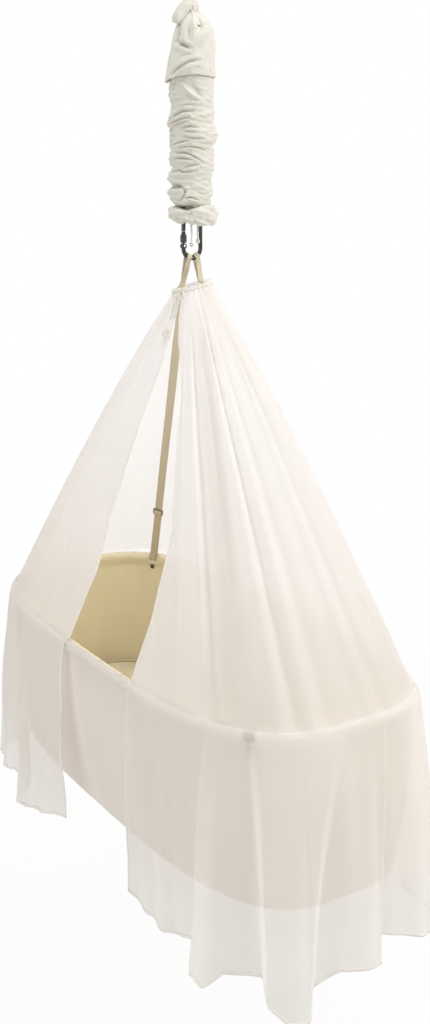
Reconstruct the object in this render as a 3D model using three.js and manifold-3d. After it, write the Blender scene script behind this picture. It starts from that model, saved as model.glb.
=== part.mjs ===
// Hanging baby cradle: a fabric bag on a steel hoop, hung by two webbing straps from a carabiner and
// an extension spring in a ruched cotton cover, with a sheer veil gathered under the carabiner.
// Millimetres, +Z up. The origin is the hang point: a ceiling hook touches the top ring's inside there.
// The cradle's head end is at -X and its foot end at +X. The veil's slit faces -Y.
import * as THREE from "three";
import { mergeVertices } from "three/addons/utils/BufferGeometryUtils.js";
import Module from "manifold-3d";

const wasm = await Module();
wasm.setup();

// Shared clearances and overruns
const SEAT_GAP = 0.3; // between pieces that touch
const CUT_OVERRUN_LENGTH = 2; // a cutting body passes a surface by this much

// Top ring and link
const RING_INNER_RADIUS = 7;
const RING_WIRE_RADIUS = 2.25;
const LINK_WIRE_RADIUS = 2.5;
const LINK_HEIGHT = 34; // centre line, top to bottom
const LINK_HALF_WIDTH = 8; // centre line

// Swivel hooks at the spring's ends
const HOOK_WIRE_RADIUS = 2.8;
const EYE_RADIUS = 9.6; // centre line
const SHANK_RADIUS = 3;
const UPPER_SHANK_LENGTH = 30;
const LOWER_SHANK_LENGTH = 47;
const SHANK_HEAD_RADIUS = 9;
const SHANK_HEAD_HEIGHT = 4;

// Extension spring
const SPRING_WIRE_RADIUS = 2.1;
const SPRING_MEAN_RADIUS = 23;
const SPRING_END_RADIUS = 6.2; // the narrow last turn that holds a hook's head
const SPRING_LENGTH = 224;
const SPRING_TURNS = 28;
const SPRING_CONE_TURNS = 3;

// Spring cover: a gathered top round the ring, a hood under it, a ruched sleeve and a cuff
const COVER_THICKNESS = 1.4;
const COVER_COLUMNS = 16;
const GATHERED_TOP_HEIGHT = 9; // above the hang point
const GATHERED_TOP_DROP_HEIGHT = 20; // below the hang point
const HOOD_TOP_DROP_HEIGHT = 24; // below the hang point, under the gathered top
const HOOD_HEM_DROP_HEIGHT = 113; // below the hang point
const HOOD_HEM_RADIUS = 39.5;
const HOOD_PLEAT_DEPTH = 1.1;
const SLEEVE_TOP_DROP_HEIGHT = 80;
const SLEEVE_NARROW_RADIUS = 34.5;
const SLEEVE_RUCHED_RADIUS = 38;
const SLEEVE_RUCHE_DEPTH = 2.2;
const SLEEVE_ROWS = 26;
const SLEEVE_TILT_DEPTH = 3; // the ruched rings dip this much on one side
const CUFF_HEIGHT = 29;
const CUFF_RADIUS = 38.5;
const DRAWCORD_RADIUS = 1.2;
const DRAWCORD_TAIL_LENGTH = 68;
const DRAWCORD_TAIL_SPREAD_WIDTH = 12; // between the two tails
const DRAWCORD_FRONT_DISTANCE = 8.6; // the tails hang this far in front of the hook

// Carabiner: an oval with a screw gate
const CARABINER_LENGTH = 78;
const CARABINER_WIDTH = 40;
const CARABINER_ROD_RADIUS = 3.5;
const CARABINER_NOSE_LENGTH = 9;
const GATE_PIN_RADIUS = 1.5;
const GATE_TONGUE_RADIUS = 4;
const GATE_TONGUE_THICKNESS = 3;
const GATE_LUG_RADIUS = 4.5;
const GATE_LUG_WIDTH = 8;
const GATE_SLEEVE_LENGTH = 14;
const GATE_SLEEVE_WALL = 1.7;

// Webbing
const STRAP_WIDTH = 15;
const STRAP_THICKNESS = 1.6;
const STRAP_LOOP_WIDTH = 9; // folded narrow where it hangs on the carabiner
const STRAP_LOOP_SPREAD_WIDTH = 16.5; // between the two loops' centres
const STRAP_LOOP_CLEARANCE = 1.2; // for the carabiner's curved bow
const STRAP_LOOP_DROP_HEIGHT = 42; // bow centre to the sewn end
const STRAP_SEWN_DISTANCE = 18; // the sewn end stands this far towards its end of the cradle
const STRAP_SEWN_SPREAD_WIDTH = 12; // between the two sewn ends' middles, across the cradle
const STRAP_DROP_HEIGHT = 610; // sewn end to hoop, straight down
const SLIDER_DISTANCE = 146; // from the hoop, along the strap
const SLIDER_PLATE_THICKNESS = 2;
const SLIDER_BAR_WIDTH = 2;
const SLIDER_RAIL_WIDTH = 2.2;
const SLIDER_SIDE_CLEARANCE = 0.5;

// Hoop, bag and mattress
const HOOP_HALF_LENGTH = 450;
const HOOP_HALF_WIDTH = 210;
const HOOP_ROD_RADIUS = 4;
const HOOP_END_GAP = 1;
const FERRULE_WALL = 1.8;
const FERRULE_LENGTH = 44;
const BAG_DEPTH = 271; // hoop centre to the base cloth
const BASE_HALF_LENGTH = 437;
const BASE_HALF_WIDTH = 184;
const WALL_BELLY_DEPTH = 7;
const BAG_CLOTH_THICKNESS = 2;
const LAYER_GAP = 0.5; // between the outer cloth and the lining
const SEAM_GAP = 0.6;
const BINDING_RADIUS = 7.4; // inside radius over the hoop
const BINDING_THICKNESS = 1.8;
const BINDING_DROP_HEIGHT = 30; // below the hoop's centre
const BINDING_NOTCH_WIDTH = 27; // opening for a strap, along the hoop
const RIVET_DROP_HEIGHT = 17; // below the hoop's centre
const RIVET_SHANK_RADIUS = 1.6;
const RIVET_HEAD_RADIUS = 4;
const RIVET_HEAD_HEIGHT = 1.2;
const BASE_BOARD_THICKNESS = 6;
const MATTRESS_HEIGHT = 50;
const MATTRESS_CROWN_HEIGHT = 9;
const MATTRESS_DRAW_IN_DEPTH = 6;
const MATTRESS_EDGE_RADIUS = 12;
const MATTRESS_CLEARANCE = 5;

// Veil
const VEIL_THICKNESS = 1.2;
const GATHER_HALF_LENGTH = 30;
const GATHER_HALF_WIDTH = 21;
const GATHER_DROP_HEIGHT = 9; // the gather is this far under the straps' sewn ends
const VEIL_FRILL_HEIGHT = 10;
const VEIL_FRILL_WIDTH = 3;
const VEIL_OVER_HOOP_HEIGHT = 11.6;
const VEIL_OUTSIDE_HOOP_DISTANCE = 15;
const VEIL_OUTSIDE_HEIGHT = 5;
const VEIL_HANG_LENGTH = 330;
const VEIL_FLARE_WIDTH = 5;
const VEIL_FOLD_DEPTH = 66;
const DRAWSTRING_RADIUS = 1.5;
const BOW_TAIL_LENGTH = 46;
const BOW_LOOP_LENGTH = 18;
const LOWER_BOW_TAIL_LENGTH = 24;
const LOWER_BOW_LOOP_LENGTH = 12;
const LOWER_BOW_DROP_HEIGHT = 78; // below the gather, along the tent
const TENT_SLOPE = 0.36; // how fast the tent's long side leans out as it goes down

// Counts and shares
const OUTLINE_POWER = 3.25; // squareness of the hoop and base outline
const OUTLINE_STEPS = 1440;
const GRID = 48; // columns round the bag
const CORNER_COLUMN = 4; // a seam stands this many columns from each end's middle
const STRAP_COLUMN_SHARE = 3.5; // and a strap this many
const ROD_SIDES = 8;
const wallRowShares = [0, 0.15, 0.5, 0.85, 1];

// The veil's rows run from its frill to its hem. Rows 1 to 6 are the tent, and the rest hang outside the
// bag.
const tentRowShares = [0, 0.25, 0.5, 0.75, 0.93, 1];
const hangRowShares = [0, 0.25, 0.6, 1];
const hemDrawInShare = 0.35; // how far the hem follows the bag's wall inwards
const foldRowShares = [0.032, 0.023, 0.064, 0.1, 0.127, 0.091, 0.055, 0.073, 0.35, 0.68, 1];
const slitLeftShares = [0.79, 0.785, 0.755, 0.748, 0.741, 0.731, 0.726, 0.726, 0.727, 0.729, 0.73];
const slitRightShares = [0.81, 0.815, 0.862, 0.857, 0.845, 0.825, 0.818, 0.818, 0.819, 0.82, 0.82];
// The veil's columns, from one edge of its slit round the foot end, the far side and the head end to the
// other edge: the share round the cradle at the hem, how far the fold stands out as a share of
// VEIL_FOLD_DEPTH, and how long it hangs as a share of VEIL_HANG_LENGTH.
const foldShares = [
  [0.82, 0.152, 0.981],
  [0.842, 0.152, 1.02],
  [0.862, 0.152, 1.04],
  [0.8742, 0.19, 1.03],
  [0.8865, 0.227, 1.02],
  [0.8895, 0.606, 1.11],
  [0.9, 0.599, 1.11],
  [0.914, 0.59, 1.01],
  [0.935, 0.576, 1.01],
  [0.938, 1, 1.08],
  [0.95, 0.982, 1.16],
  [0.9585, 0.97, 1.16],
  [0.9615, 0.606, 1.06],
  [0.978, 0.524, 1.02],
  [0.992, 0.505, 1.05],
  [1.007, 0.485, 1.08],
  [1.012, 0.185, 1],
  [1.03, 0.303, 1.04],
  [1.043, 0.352, 1.07],
  [1.055, 0.398, 1.11],
  [1.07, 0.455, 1.16],
  [1.085, 0.409, 1.18],
  [1.1045, 0.419, 1.165],
  [1.124, 0.429, 1.15],
  [1.142, 0.329, 1.125],
  [1.16, 0.228, 1.1],
  [1.1785, 0.37, 1.075],
  [1.197, 0.512, 1.05],
  [1.214, 0.369, 1.04],
  [1.231, 0.226, 1.03],
  [1.246, 0.325, 1.03],
  [1.261, 0.423, 1.03],
  [1.2745, 0.281, 1.04],
  [1.288, 0.14, 1.05],
  [1.3005, 0.264, 1.055],
  [1.313, 0.387, 1.06],
  [1.325, 0.288, 1.055],
  [1.337, 0.189, 1.05],
  [1.3495, 0.333, 1.045],
  [1.362, 0.476, 1.04],
  [1.3745, 0.378, 1.035],
  [1.387, 0.28, 1.03],
  [1.401, 0.399, 1.04],
  [1.415, 0.518, 1.05],
  [1.4305, 0.368, 1.055],
  [1.446, 0.219, 1.06],
  [1.4635, 0.308, 1.075],
  [1.481, 0.397, 1.09],
  [1.5, 0.231, 1.08],
  [1.519, 0.065, 1.07],
  [1.542, 0.067, 1.06],
  [1.565, 0.069, 1.05],
  [1.582, 0.045, 1.06],
  [1.6, 0.027, 1.05],
  [1.618, 0.019, 1],
  [1.636, 0.011, 0.973],
  [1.649, 0.005, 0.968],
  [1.661, 0, 0.964],
  [1.664, 0.394, 1.04],
  [1.676, 0.392, 1.03],
  [1.69, 0.389, 0.99],
  [1.705, 0.386, 0.953],
  [1.718, 0.382, 0.925],
  [1.73, 0.379, 0.9],
];
// the rows of the gathered top and of the hood: down each one's height, and their half sizes along X and Y
// as shares of the hem's radius
const topShares = [
  [0, 0.3, 0.21],
  [0.25, 0.345, 0.24],
  [0.47, 0.352, 0.27],
  [0.68, 0.45, 0.44],
  [0.85, 0.57, 0.57],
  [1, 0.64, 0.64],
];
const hoodShares = [
  [0, 0.42, 0.42],
  [0.1, 0.54, 0.54],
  [0.22, 0.71, 0.71],
  [0.38, 0.81, 0.81],
  [0.55, 0.89, 0.89],
  [0.78, 0.955, 0.955],
  [1, 1, 1],
];
const cuffShares = [
  [0, 0.97],
  [0.2, 0.93],
  [0.45, 1],
  [0.8, 0.985],
  [1, 0.94],
];

const material = (color, roughness, metalness = 0) =>
  new THREE.MeshStandardMaterial({ color, roughness, metalness });
const cotton = material(0xebe9de, 0.9);
const cottonCord = material(0xe2ddd0, 0.9);
const veilCloth = material(0xf0e8e1, 0.85);
const shellCloth = material(0xe8dfd3, 0.9);
const liningCloth = material(0xcbb88c, 0.9);
const webbing = material(0xc0b18c, 0.9);
const darkSteel = material(0x3b3a39, 0.35, 0.9);
const brightSteel = material(0xb9babc, 0.3, 0.9);
const springSteel = material(0x8f9093, 0.4, 0.9);
const board = material(0xb08a5b, 0.8);
const mattressCloth = material(0xd6c49c, 0.9);

const cradle = new THREE.Group();
const vec = (x, y, z) => new THREE.Vector3(x, y, z);
const lerp = THREE.MathUtils.lerp;
const X_AXIS = vec(1, 0, 0);
const Y_AXIS = vec(0, 1, 0);
const Z_AXIS = vec(0, 0, 1);

function addPart(name, geometry, surface) {
  const mesh = new THREE.Mesh(geometry, surface);
  mesh.name = name;
  cradle.add(mesh);
  return mesh;
}

function geometryFrom(points, triangles) {
  const flat = new Float32Array(triangles.length * 3);
  triangles.forEach((index, i) => points[index].toArray(flat, i * 3));
  let volume = 0;
  for (let i = 0; i < triangles.length; i += 3) {
    const [a, b, c] = [points[triangles[i]], points[triangles[i + 1]], points[triangles[i + 2]]];
    volume += a.dot(b.clone().cross(c));
  }
  if (volume < 0) {
    const reversed = [];
    for (let i = 0; i < triangles.length; i += 3) {
      reversed.push(triangles[i], triangles[i + 2], triangles[i + 1]);
    }
    return geometryFrom(points, reversed);
  }
  const geometry = new THREE.BufferGeometry();
  geometry.setAttribute("position", new THREE.BufferAttribute(flat, 3));
  geometry.computeVertexNormals();
  return geometry;
}

// A body through rings of points, each ring with the same count. It closes on itself or has flat ends.
function loft(rings, closed = false) {
  const size = rings[0].length;
  const points = rings.flat();
  const triangles = [];
  const spans = closed ? rings.length : rings.length - 1;
  for (let r = 0; r < spans; r++) {
    const here = r * size;
    const next = ((r + 1) % rings.length) * size;
    for (let i = 0; i < size; i++) {
      const j = (i + 1) % size;
      triangles.push(here + i, here + j, next + j, here + i, next + j, next + i);
    }
  }
  if (!closed) {
    const last = (rings.length - 1) * size;
    for (let i = 1; i < size - 1; i++) {
      triangles.push(0, i + 1, i, last, last + i, last + i + 1);
    }
  }
  return geometryFrom(points, triangles);
}

// A sheet with thickness between two grids of points, closed round its columns or open at both sides.
function sheet(outer, inner, closed) {
  const rows = outer.length;
  const columns = outer[0].length;
  const points = [...outer.flat(), ...inner.flat()];
  const back = rows * columns;
  const at = (r, c) => r * columns + (c % columns);
  const triangles = [];
  const quad = (a, b, c, d) => triangles.push(a, b, c, a, c, d);
  const spans = closed ? columns : columns - 1;
  for (let r = 0; r < rows - 1; r++) {
    for (let c = 0; c < spans; c++) {
      quad(at(r, c), at(r, c + 1), at(r + 1, c + 1), at(r + 1, c));
      quad(back + at(r, c), back + at(r + 1, c), back + at(r + 1, c + 1), back + at(r, c + 1));
    }
  }
  const end = rows - 1;
  for (let c = 0; c < spans; c++) {
    quad(at(0, c), back + at(0, c), back + at(0, c + 1), at(0, c + 1));
    quad(at(end, c), at(end, c + 1), back + at(end, c + 1), back + at(end, c));
  }
  if (!closed) {
    const side = columns - 1;
    for (let r = 0; r < end; r++) {
      quad(at(r, 0), at(r + 1, 0), back + at(r + 1, 0), back + at(r, 0));
      quad(at(r, side), back + at(r, side), back + at(r + 1, side), at(r + 1, side));
    }
  }
  return geometryFrom(points, triangles);
}

// The points of a grid moved along the surface's own normals.
function offsetGrid(grid, distance, closed) {
  const rows = grid.length;
  const columns = grid[0].length;
  return grid.map((row, r) =>
    row.map((point, c) => {
      const up = grid[Math.max(r - 1, 0)][c];
      const down = grid[Math.min(r + 1, rows - 1)][c];
      const left = closed ? row[(c + columns - 1) % columns] : row[Math.max(c - 1, 0)];
      const right = closed ? row[(c + 1) % columns] : row[Math.min(c + 1, columns - 1)];
      const normal = right.clone().sub(left).cross(down.clone().sub(up)).normalize();
      return point.clone().addScaledVector(normal, distance);
    }),
  );
}

// Rings of a round rod along a line of points.
function rodRings(path, radius, sides, closed = false, firstNormal = null) {
  const count = path.length;
  const tangents = path.map((point, i) => {
    const before = closed ? path[(i + count - 1) % count] : path[Math.max(i - 1, 0)];
    const after = closed ? path[(i + 1) % count] : path[Math.min(i + 1, count - 1)];
    return after.clone().sub(before).normalize();
  });
  const start = firstNormal ?? (Math.abs(tangents[0].z) < 0.9 ? Z_AXIS : X_AXIS);
  let normal = start.clone();
  return path.map((point, i) => {
    normal = normal.clone().addScaledVector(tangents[i], -normal.dot(tangents[i])).normalize();
    const binormal = tangents[i].clone().cross(normal);
    return Array.from({ length: sides }, (unused, s) => {
      const angle = (s / sides) * Math.PI * 2;
      return point
        .clone()
        .addScaledVector(normal, Math.cos(angle) * radius)
        .addScaledVector(binormal, Math.sin(angle) * radius);
    });
  });
}

const rod = (path, radius, sides = ROD_SIDES) => loft(rodRings(path, radius, sides));
// A rod that closes on itself in a flat plane whose normal is given.
const closedRod = (path, radius, planeNormal, sides = ROD_SIDES) =>
  loft(rodRings(path, radius, sides, true, planeNormal), true);

function toSolid(geometry) {
  const bare = geometry.clone();
  bare.deleteAttribute("normal");
  bare.deleteAttribute("uv");
  const merged = mergeVertices(bare, 1e-4);
  return new wasm.Manifold(
    new wasm.Mesh({
      numProp: 3,
      vertProperties: merged.attributes.position.array,
      triVerts: new Uint32Array(merged.index.array),
    }),
  );
}

function fromSolid(solid) {
  const mesh = solid.getMesh();
  const points = [];
  for (let i = 0; i < mesh.numVert; i++) {
    const at = i * mesh.numProp;
    points.push(vec(mesh.vertProperties[at], mesh.vertProperties[at + 1], mesh.vertProperties[at + 2]));
  }
  return geometryFrom(points, Array.from(mesh.triVerts));
}

const join = (...geometries) => fromSolid(geometries.map(toSolid).reduce((a, b) => a.add(b)));
const cut = (geometry, ...tools) =>
  fromSolid(tools.map(toSolid).reduce((a, b) => a.subtract(b), toSolid(geometry)));

function boxAt(center, size, alongX = X_AXIS, alongY = Y_AXIS, alongZ = Z_AXIS) {
  const box = new THREE.BoxGeometry(size.x, size.y, size.z);
  const frame = new THREE.Matrix4().makeBasis(alongX, alongY, alongZ).setPosition(center);
  return box.applyMatrix4(frame);
}

// A cylinder between two points.
function cylinderBetween(from, to, radius, sides = 12) {
  const length = from.distanceTo(to);
  const cylinder = new THREE.CylinderGeometry(radius, radius, length, sides);
  const turn = new THREE.Quaternion().setFromUnitVectors(Y_AXIS, to.clone().sub(from).normalize());
  cylinder.applyQuaternion(turn);
  const middle = from.clone().add(to).multiplyScalar(0.5);
  return cylinder.translate(middle.x, middle.y, middle.z);
}

// Points on an arc in the plane of two unit vectors.
function arc(center, alongU, alongV, radius, fromAngle, toAngle, steps) {
  return Array.from({ length: steps + 1 }, (unused, i) => {
    const angle = lerp(fromAngle, toAngle, i / steps);
    return center
      .clone()
      .addScaledVector(alongU, Math.cos(angle) * radius)
      .addScaledVector(alongV, Math.sin(angle) * radius);
  });
}

// Heights down the chain of ring, link, hook, spring, hook and carabiner
const ringCenterZ = -RING_INNER_RADIUS;
const ringLineRadius = RING_INNER_RADIUS + RING_WIRE_RADIUS;
const ringBottomZ = ringCenterZ - ringLineRadius;
const linkTopZ = ringBottomZ + RING_WIRE_RADIUS + SEAT_GAP + LINK_WIRE_RADIUS;
const linkBottomZ = linkTopZ - LINK_HEIGHT;
const upperEyeZ = linkBottomZ + LINK_WIRE_RADIUS + SEAT_GAP + HOOK_WIRE_RADIUS - EYE_RADIUS;
const upperShankTopZ = upperEyeZ - EYE_RADIUS;
const upperShankEndZ = upperShankTopZ - UPPER_SHANK_LENGTH;
const springPitch = (SPRING_LENGTH - SPRING_WIRE_RADIUS * 2) / SPRING_TURNS;
// a head sits where the cone's turns have opened past it
const headTurnShare = 1.24;
const springTopZ = upperShankEndZ + SHANK_HEAD_HEIGHT + springPitch * headTurnShare + SPRING_WIRE_RADIUS;
const springBottomZ = springTopZ - SPRING_LENGTH;
const lowerShankTopZ = springBottomZ + (springTopZ - upperShankEndZ);
const lowerEyeTopZ = lowerShankTopZ - LOWER_SHANK_LENGTH;
const lowerEyeZ = lowerEyeTopZ - EYE_RADIUS;
const lowerEyeBottomZ = lowerEyeZ - EYE_RADIUS;
const carabinerTopZ = lowerEyeBottomZ + HOOK_WIRE_RADIUS + SEAT_GAP + CARABINER_ROD_RADIUS;
const bowRadius = CARABINER_WIDTH / 2 - CARABINER_ROD_RADIUS;
const topBowZ = carabinerTopZ - bowRadius;
const bottomBowZ = carabinerTopZ - CARABINER_LENGTH + CARABINER_ROD_RADIUS * 2 + bowRadius;

// Top ring and link
function buildHangers() {
  const ringPath = arc(vec(0, 0, ringCenterZ), X_AXIS, Z_AXIS, ringLineRadius, 0, Math.PI * 2, 20);
  ringPath.pop();
  addPart("hang_ring", closedRod(ringPath, RING_WIRE_RADIUS, Y_AXIS), brightSteel);
  const upperBow = arc(vec(0, 0, linkTopZ - LINK_HALF_WIDTH), Y_AXIS, Z_AXIS, LINK_HALF_WIDTH, 0, Math.PI, 8);
  const lowerBow = arc(
    vec(0, 0, linkBottomZ + LINK_HALF_WIDTH),
    Y_AXIS,
    Z_AXIS,
    LINK_HALF_WIDTH,
    Math.PI,
    Math.PI * 2,
    8,
  );
  addPart("hang_link", closedRod([...upperBow, ...lowerBow], LINK_WIRE_RADIUS, X_AXIS), brightSteel);
}

// A swivel hook: an eye with a shank whose head is caught inside the spring's narrow end.
function swivelHook(eyeZ, shankStartZ, shankEndZ, headFromZ, headToZ) {
  const eyePath = arc(vec(0, 0, eyeZ), X_AXIS, Z_AXIS, EYE_RADIUS, 0, Math.PI * 2, 20);
  eyePath.pop();
  const eye = closedRod(eyePath, HOOK_WIRE_RADIUS, Y_AXIS, 6);
  const shank = cylinderBetween(vec(0, 0, shankStartZ), vec(0, 0, shankEndZ), SHANK_RADIUS, 10);
  const head = cylinderBetween(vec(0, 0, headFromZ), vec(0, 0, headToZ), SHANK_HEAD_RADIUS, 14);
  return join(eye, shank, head);
}

function buildHooks() {
  const upperHead = upperShankEndZ + SHANK_HEAD_HEIGHT;
  const upper = swivelHook(upperEyeZ, upperShankTopZ, upperShankEndZ, upperHead, upperShankEndZ);
  addPart("spring_hook_upper", upper, brightSteel);
  const lowerHead = lowerShankTopZ - SHANK_HEAD_HEIGHT;
  const lower = swivelHook(lowerEyeZ, lowerEyeTopZ, lowerShankTopZ, lowerHead, lowerShankTopZ);
  addPart("spring_hook_lower", lower, brightSteel);
}

// Extension spring: one wire with a narrow cone at each end
function buildSpring() {
  const stepsPerTurn = 8;
  const steps = SPRING_TURNS * stepsPerTurn;
  const path = Array.from({ length: steps + 1 }, (unused, i) => {
    const turn = i / stepsPerTurn;
    const fromEnd = Math.min(turn, SPRING_TURNS - turn);
    const open = Math.min(fromEnd / SPRING_CONE_TURNS, 1);
    const radius = lerp(SPRING_END_RADIUS, SPRING_MEAN_RADIUS, open);
    const angle = turn * Math.PI * 2;
    const z = springTopZ - SPRING_WIRE_RADIUS - turn * springPitch;
    return vec(Math.cos(angle) * radius, Math.sin(angle) * radius, z);
  });
  let leastGap = Infinity;
  path.forEach((point, i) =>
    path.slice(i + stepsPerTurn / 2).forEach((other) => {
      leastGap = Math.min(leastGap, point.distanceTo(other) - SPRING_WIRE_RADIUS * 2);
    }),
  );
  console.log("spring: least gap between turns " + leastGap.toFixed(2) + " mm");
  addPart("spring", rod(path, SPRING_WIRE_RADIUS, 5), springSteel);
}

// A pleated round cloth: each row has half sizes along X and Y, a height and its share of the pleats.
function roundCloth(rows, pleat) {
  const grid = rows.map(({ alongX, alongY, z, pleatShare = 1, tilt = 0 }) =>
    Array.from({ length: COVER_COLUMNS }, (unused, c) => {
      const angle = -(c / COVER_COLUMNS) * Math.PI * 2;
      const out = (c % 2 ? 0.5 : -0.5) * pleat * pleatShare;
      return vec(
        Math.cos(angle) * (alongX + out),
        Math.sin(angle) * (alongY + out),
        z - Math.sin(angle) * tilt,
      );
    }),
  );
  return sheet(grid, offsetGrid(grid, -COVER_THICKNESS, true), true);
}

function hoodRadiusAt(drop) {
  const share = (drop - HOOD_TOP_DROP_HEIGHT) / (HOOD_HEM_DROP_HEIGHT - HOOD_TOP_DROP_HEIGHT);
  const next = Math.max(
    hoodShares.findIndex(([down]) => down >= share),
    1,
  );
  const [d0, wide0] = hoodShares[next - 1];
  const [d1, wide1] = hoodShares[next];
  return HOOD_HEM_RADIUS * lerp(wide0, wide1, (share - d0) / (d1 - d0));
}

function buildCover() {
  const rowsBetween = (shares, topZ, bottomZ) =>
    shares.map(([down, wideX, wideY]) => ({
      alongX: HOOD_HEM_RADIUS * wideX,
      alongY: HOOD_HEM_RADIUS * wideY,
      z: lerp(topZ, bottomZ, down),
      pleatShare: down > 0 ? 1 : 0.5,
    }));
  // the gathered top is tied round the ring and lies over the hood, which swings with the spring
  const top = rowsBetween(topShares, GATHERED_TOP_HEIGHT, -GATHERED_TOP_DROP_HEIGHT);
  addPart("cover_top", roundCloth(top, HOOD_PLEAT_DEPTH), cotton);
  const hood = rowsBetween(hoodShares, -HOOD_TOP_DROP_HEIGHT, -HOOD_HEM_DROP_HEIGHT);
  addPart("cover_hood", roundCloth(hood, HOOD_PLEAT_DEPTH), cotton);

  // the sleeve is sewn inside the hood and ends just above the lower hook's eye
  const seatRadius = hoodRadiusAt(SLEEVE_TOP_DROP_HEIGHT) - COVER_THICKNESS - HOOD_PLEAT_DEPTH - SEAT_GAP;
  const sleeveBottomZ = lowerEyeTopZ + HOOK_WIRE_RADIUS + COVER_THICKNESS;
  const sleeve = Array.from({ length: SLEEVE_ROWS + 1 }, (unused, i) => {
    const share = i / SLEEVE_ROWS;
    const narrow = THREE.MathUtils.smoothstep(share, 0.22, 0.36);
    const ruche = (i % 2 ? 0.5 : -0.5) * SLEEVE_RUCHE_DEPTH * lerp(0.2, 1, narrow);
    const radius = i ? lerp(SLEEVE_NARROW_RADIUS, SLEEVE_RUCHED_RADIUS, narrow) + ruche : seatRadius;
    return {
      alongX: radius,
      alongY: radius,
      z: lerp(-SLEEVE_TOP_DROP_HEIGHT, sleeveBottomZ, share),
      tilt: SLEEVE_TILT_DEPTH * Math.sin(share * Math.PI) * narrow,
    };
  });
  addPart("cover_sleeve", roundCloth(sleeve, 0), cotton);

  // the cuff's cloth is drawn in at its top, round the cord that ties it
  const cuffTopZ = sleeveBottomZ - SEAT_GAP;
  const cordReach = Math.hypot(DRAWCORD_FRONT_DISTANCE, DRAWCORD_TAIL_SPREAD_WIDTH / 3) + DRAWCORD_RADIUS;
  const mouthRadius = (cordReach + SEAT_GAP) / Math.cos(Math.PI / COVER_COLUMNS);
  const mouth = { alongX: mouthRadius, alongY: mouthRadius, z: cuffTopZ, pleatShare: 0 };
  const cuff = cuffShares.map(([down, wide]) => ({
    alongX: CUFF_RADIUS * wide,
    alongY: CUFF_RADIUS * wide,
    z: cuffTopZ - down * CUFF_HEIGHT,
    pleatShare: down > 0 ? 0.5 : 0,
  }));
  addPart("cover_cuff", roundCloth([mouth, ...cuff], HOOD_PLEAT_DEPTH), cotton);
}

// A cord is tied round the lower hook's shank, and its two tails hang in front of the carabiner.
function buildDrawcord() {
  const knotZ = lowerEyeTopZ + HOOK_WIRE_RADIUS * 2 + DRAWCORD_RADIUS;
  const ringRadius = SHANK_RADIUS + SEAT_GAP + DRAWCORD_RADIUS;
  const ringPath = arc(vec(0, 0, knotZ), X_AXIS, Y_AXIS, ringRadius, 0, Math.PI * 2, 12);
  ringPath.pop();
  const pieces = [closedRod(ringPath, DRAWCORD_RADIUS, Z_AXIS, 6)];
  for (const side of [-1, 1]) {
    const y = (side * DRAWCORD_TAIL_SPREAD_WIDTH) / 2;
    const tail = [
      vec(ringRadius, 0, knotZ),
      vec(DRAWCORD_FRONT_DISTANCE, y / 2, knotZ - DRAWCORD_RADIUS * 2),
      vec(DRAWCORD_FRONT_DISTANCE, y, knotZ - DRAWCORD_RADIUS * 8),
      vec(DRAWCORD_FRONT_DISTANCE, y, knotZ - DRAWCORD_TAIL_LENGTH / 2),
      vec(DRAWCORD_FRONT_DISTANCE, y, knotZ - DRAWCORD_TAIL_LENGTH),
    ];
    pieces.push(rod(tail, DRAWCORD_RADIUS, 6));
  }
  addPart("cover_drawcord", join(...pieces), cottonCord);
}

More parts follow.
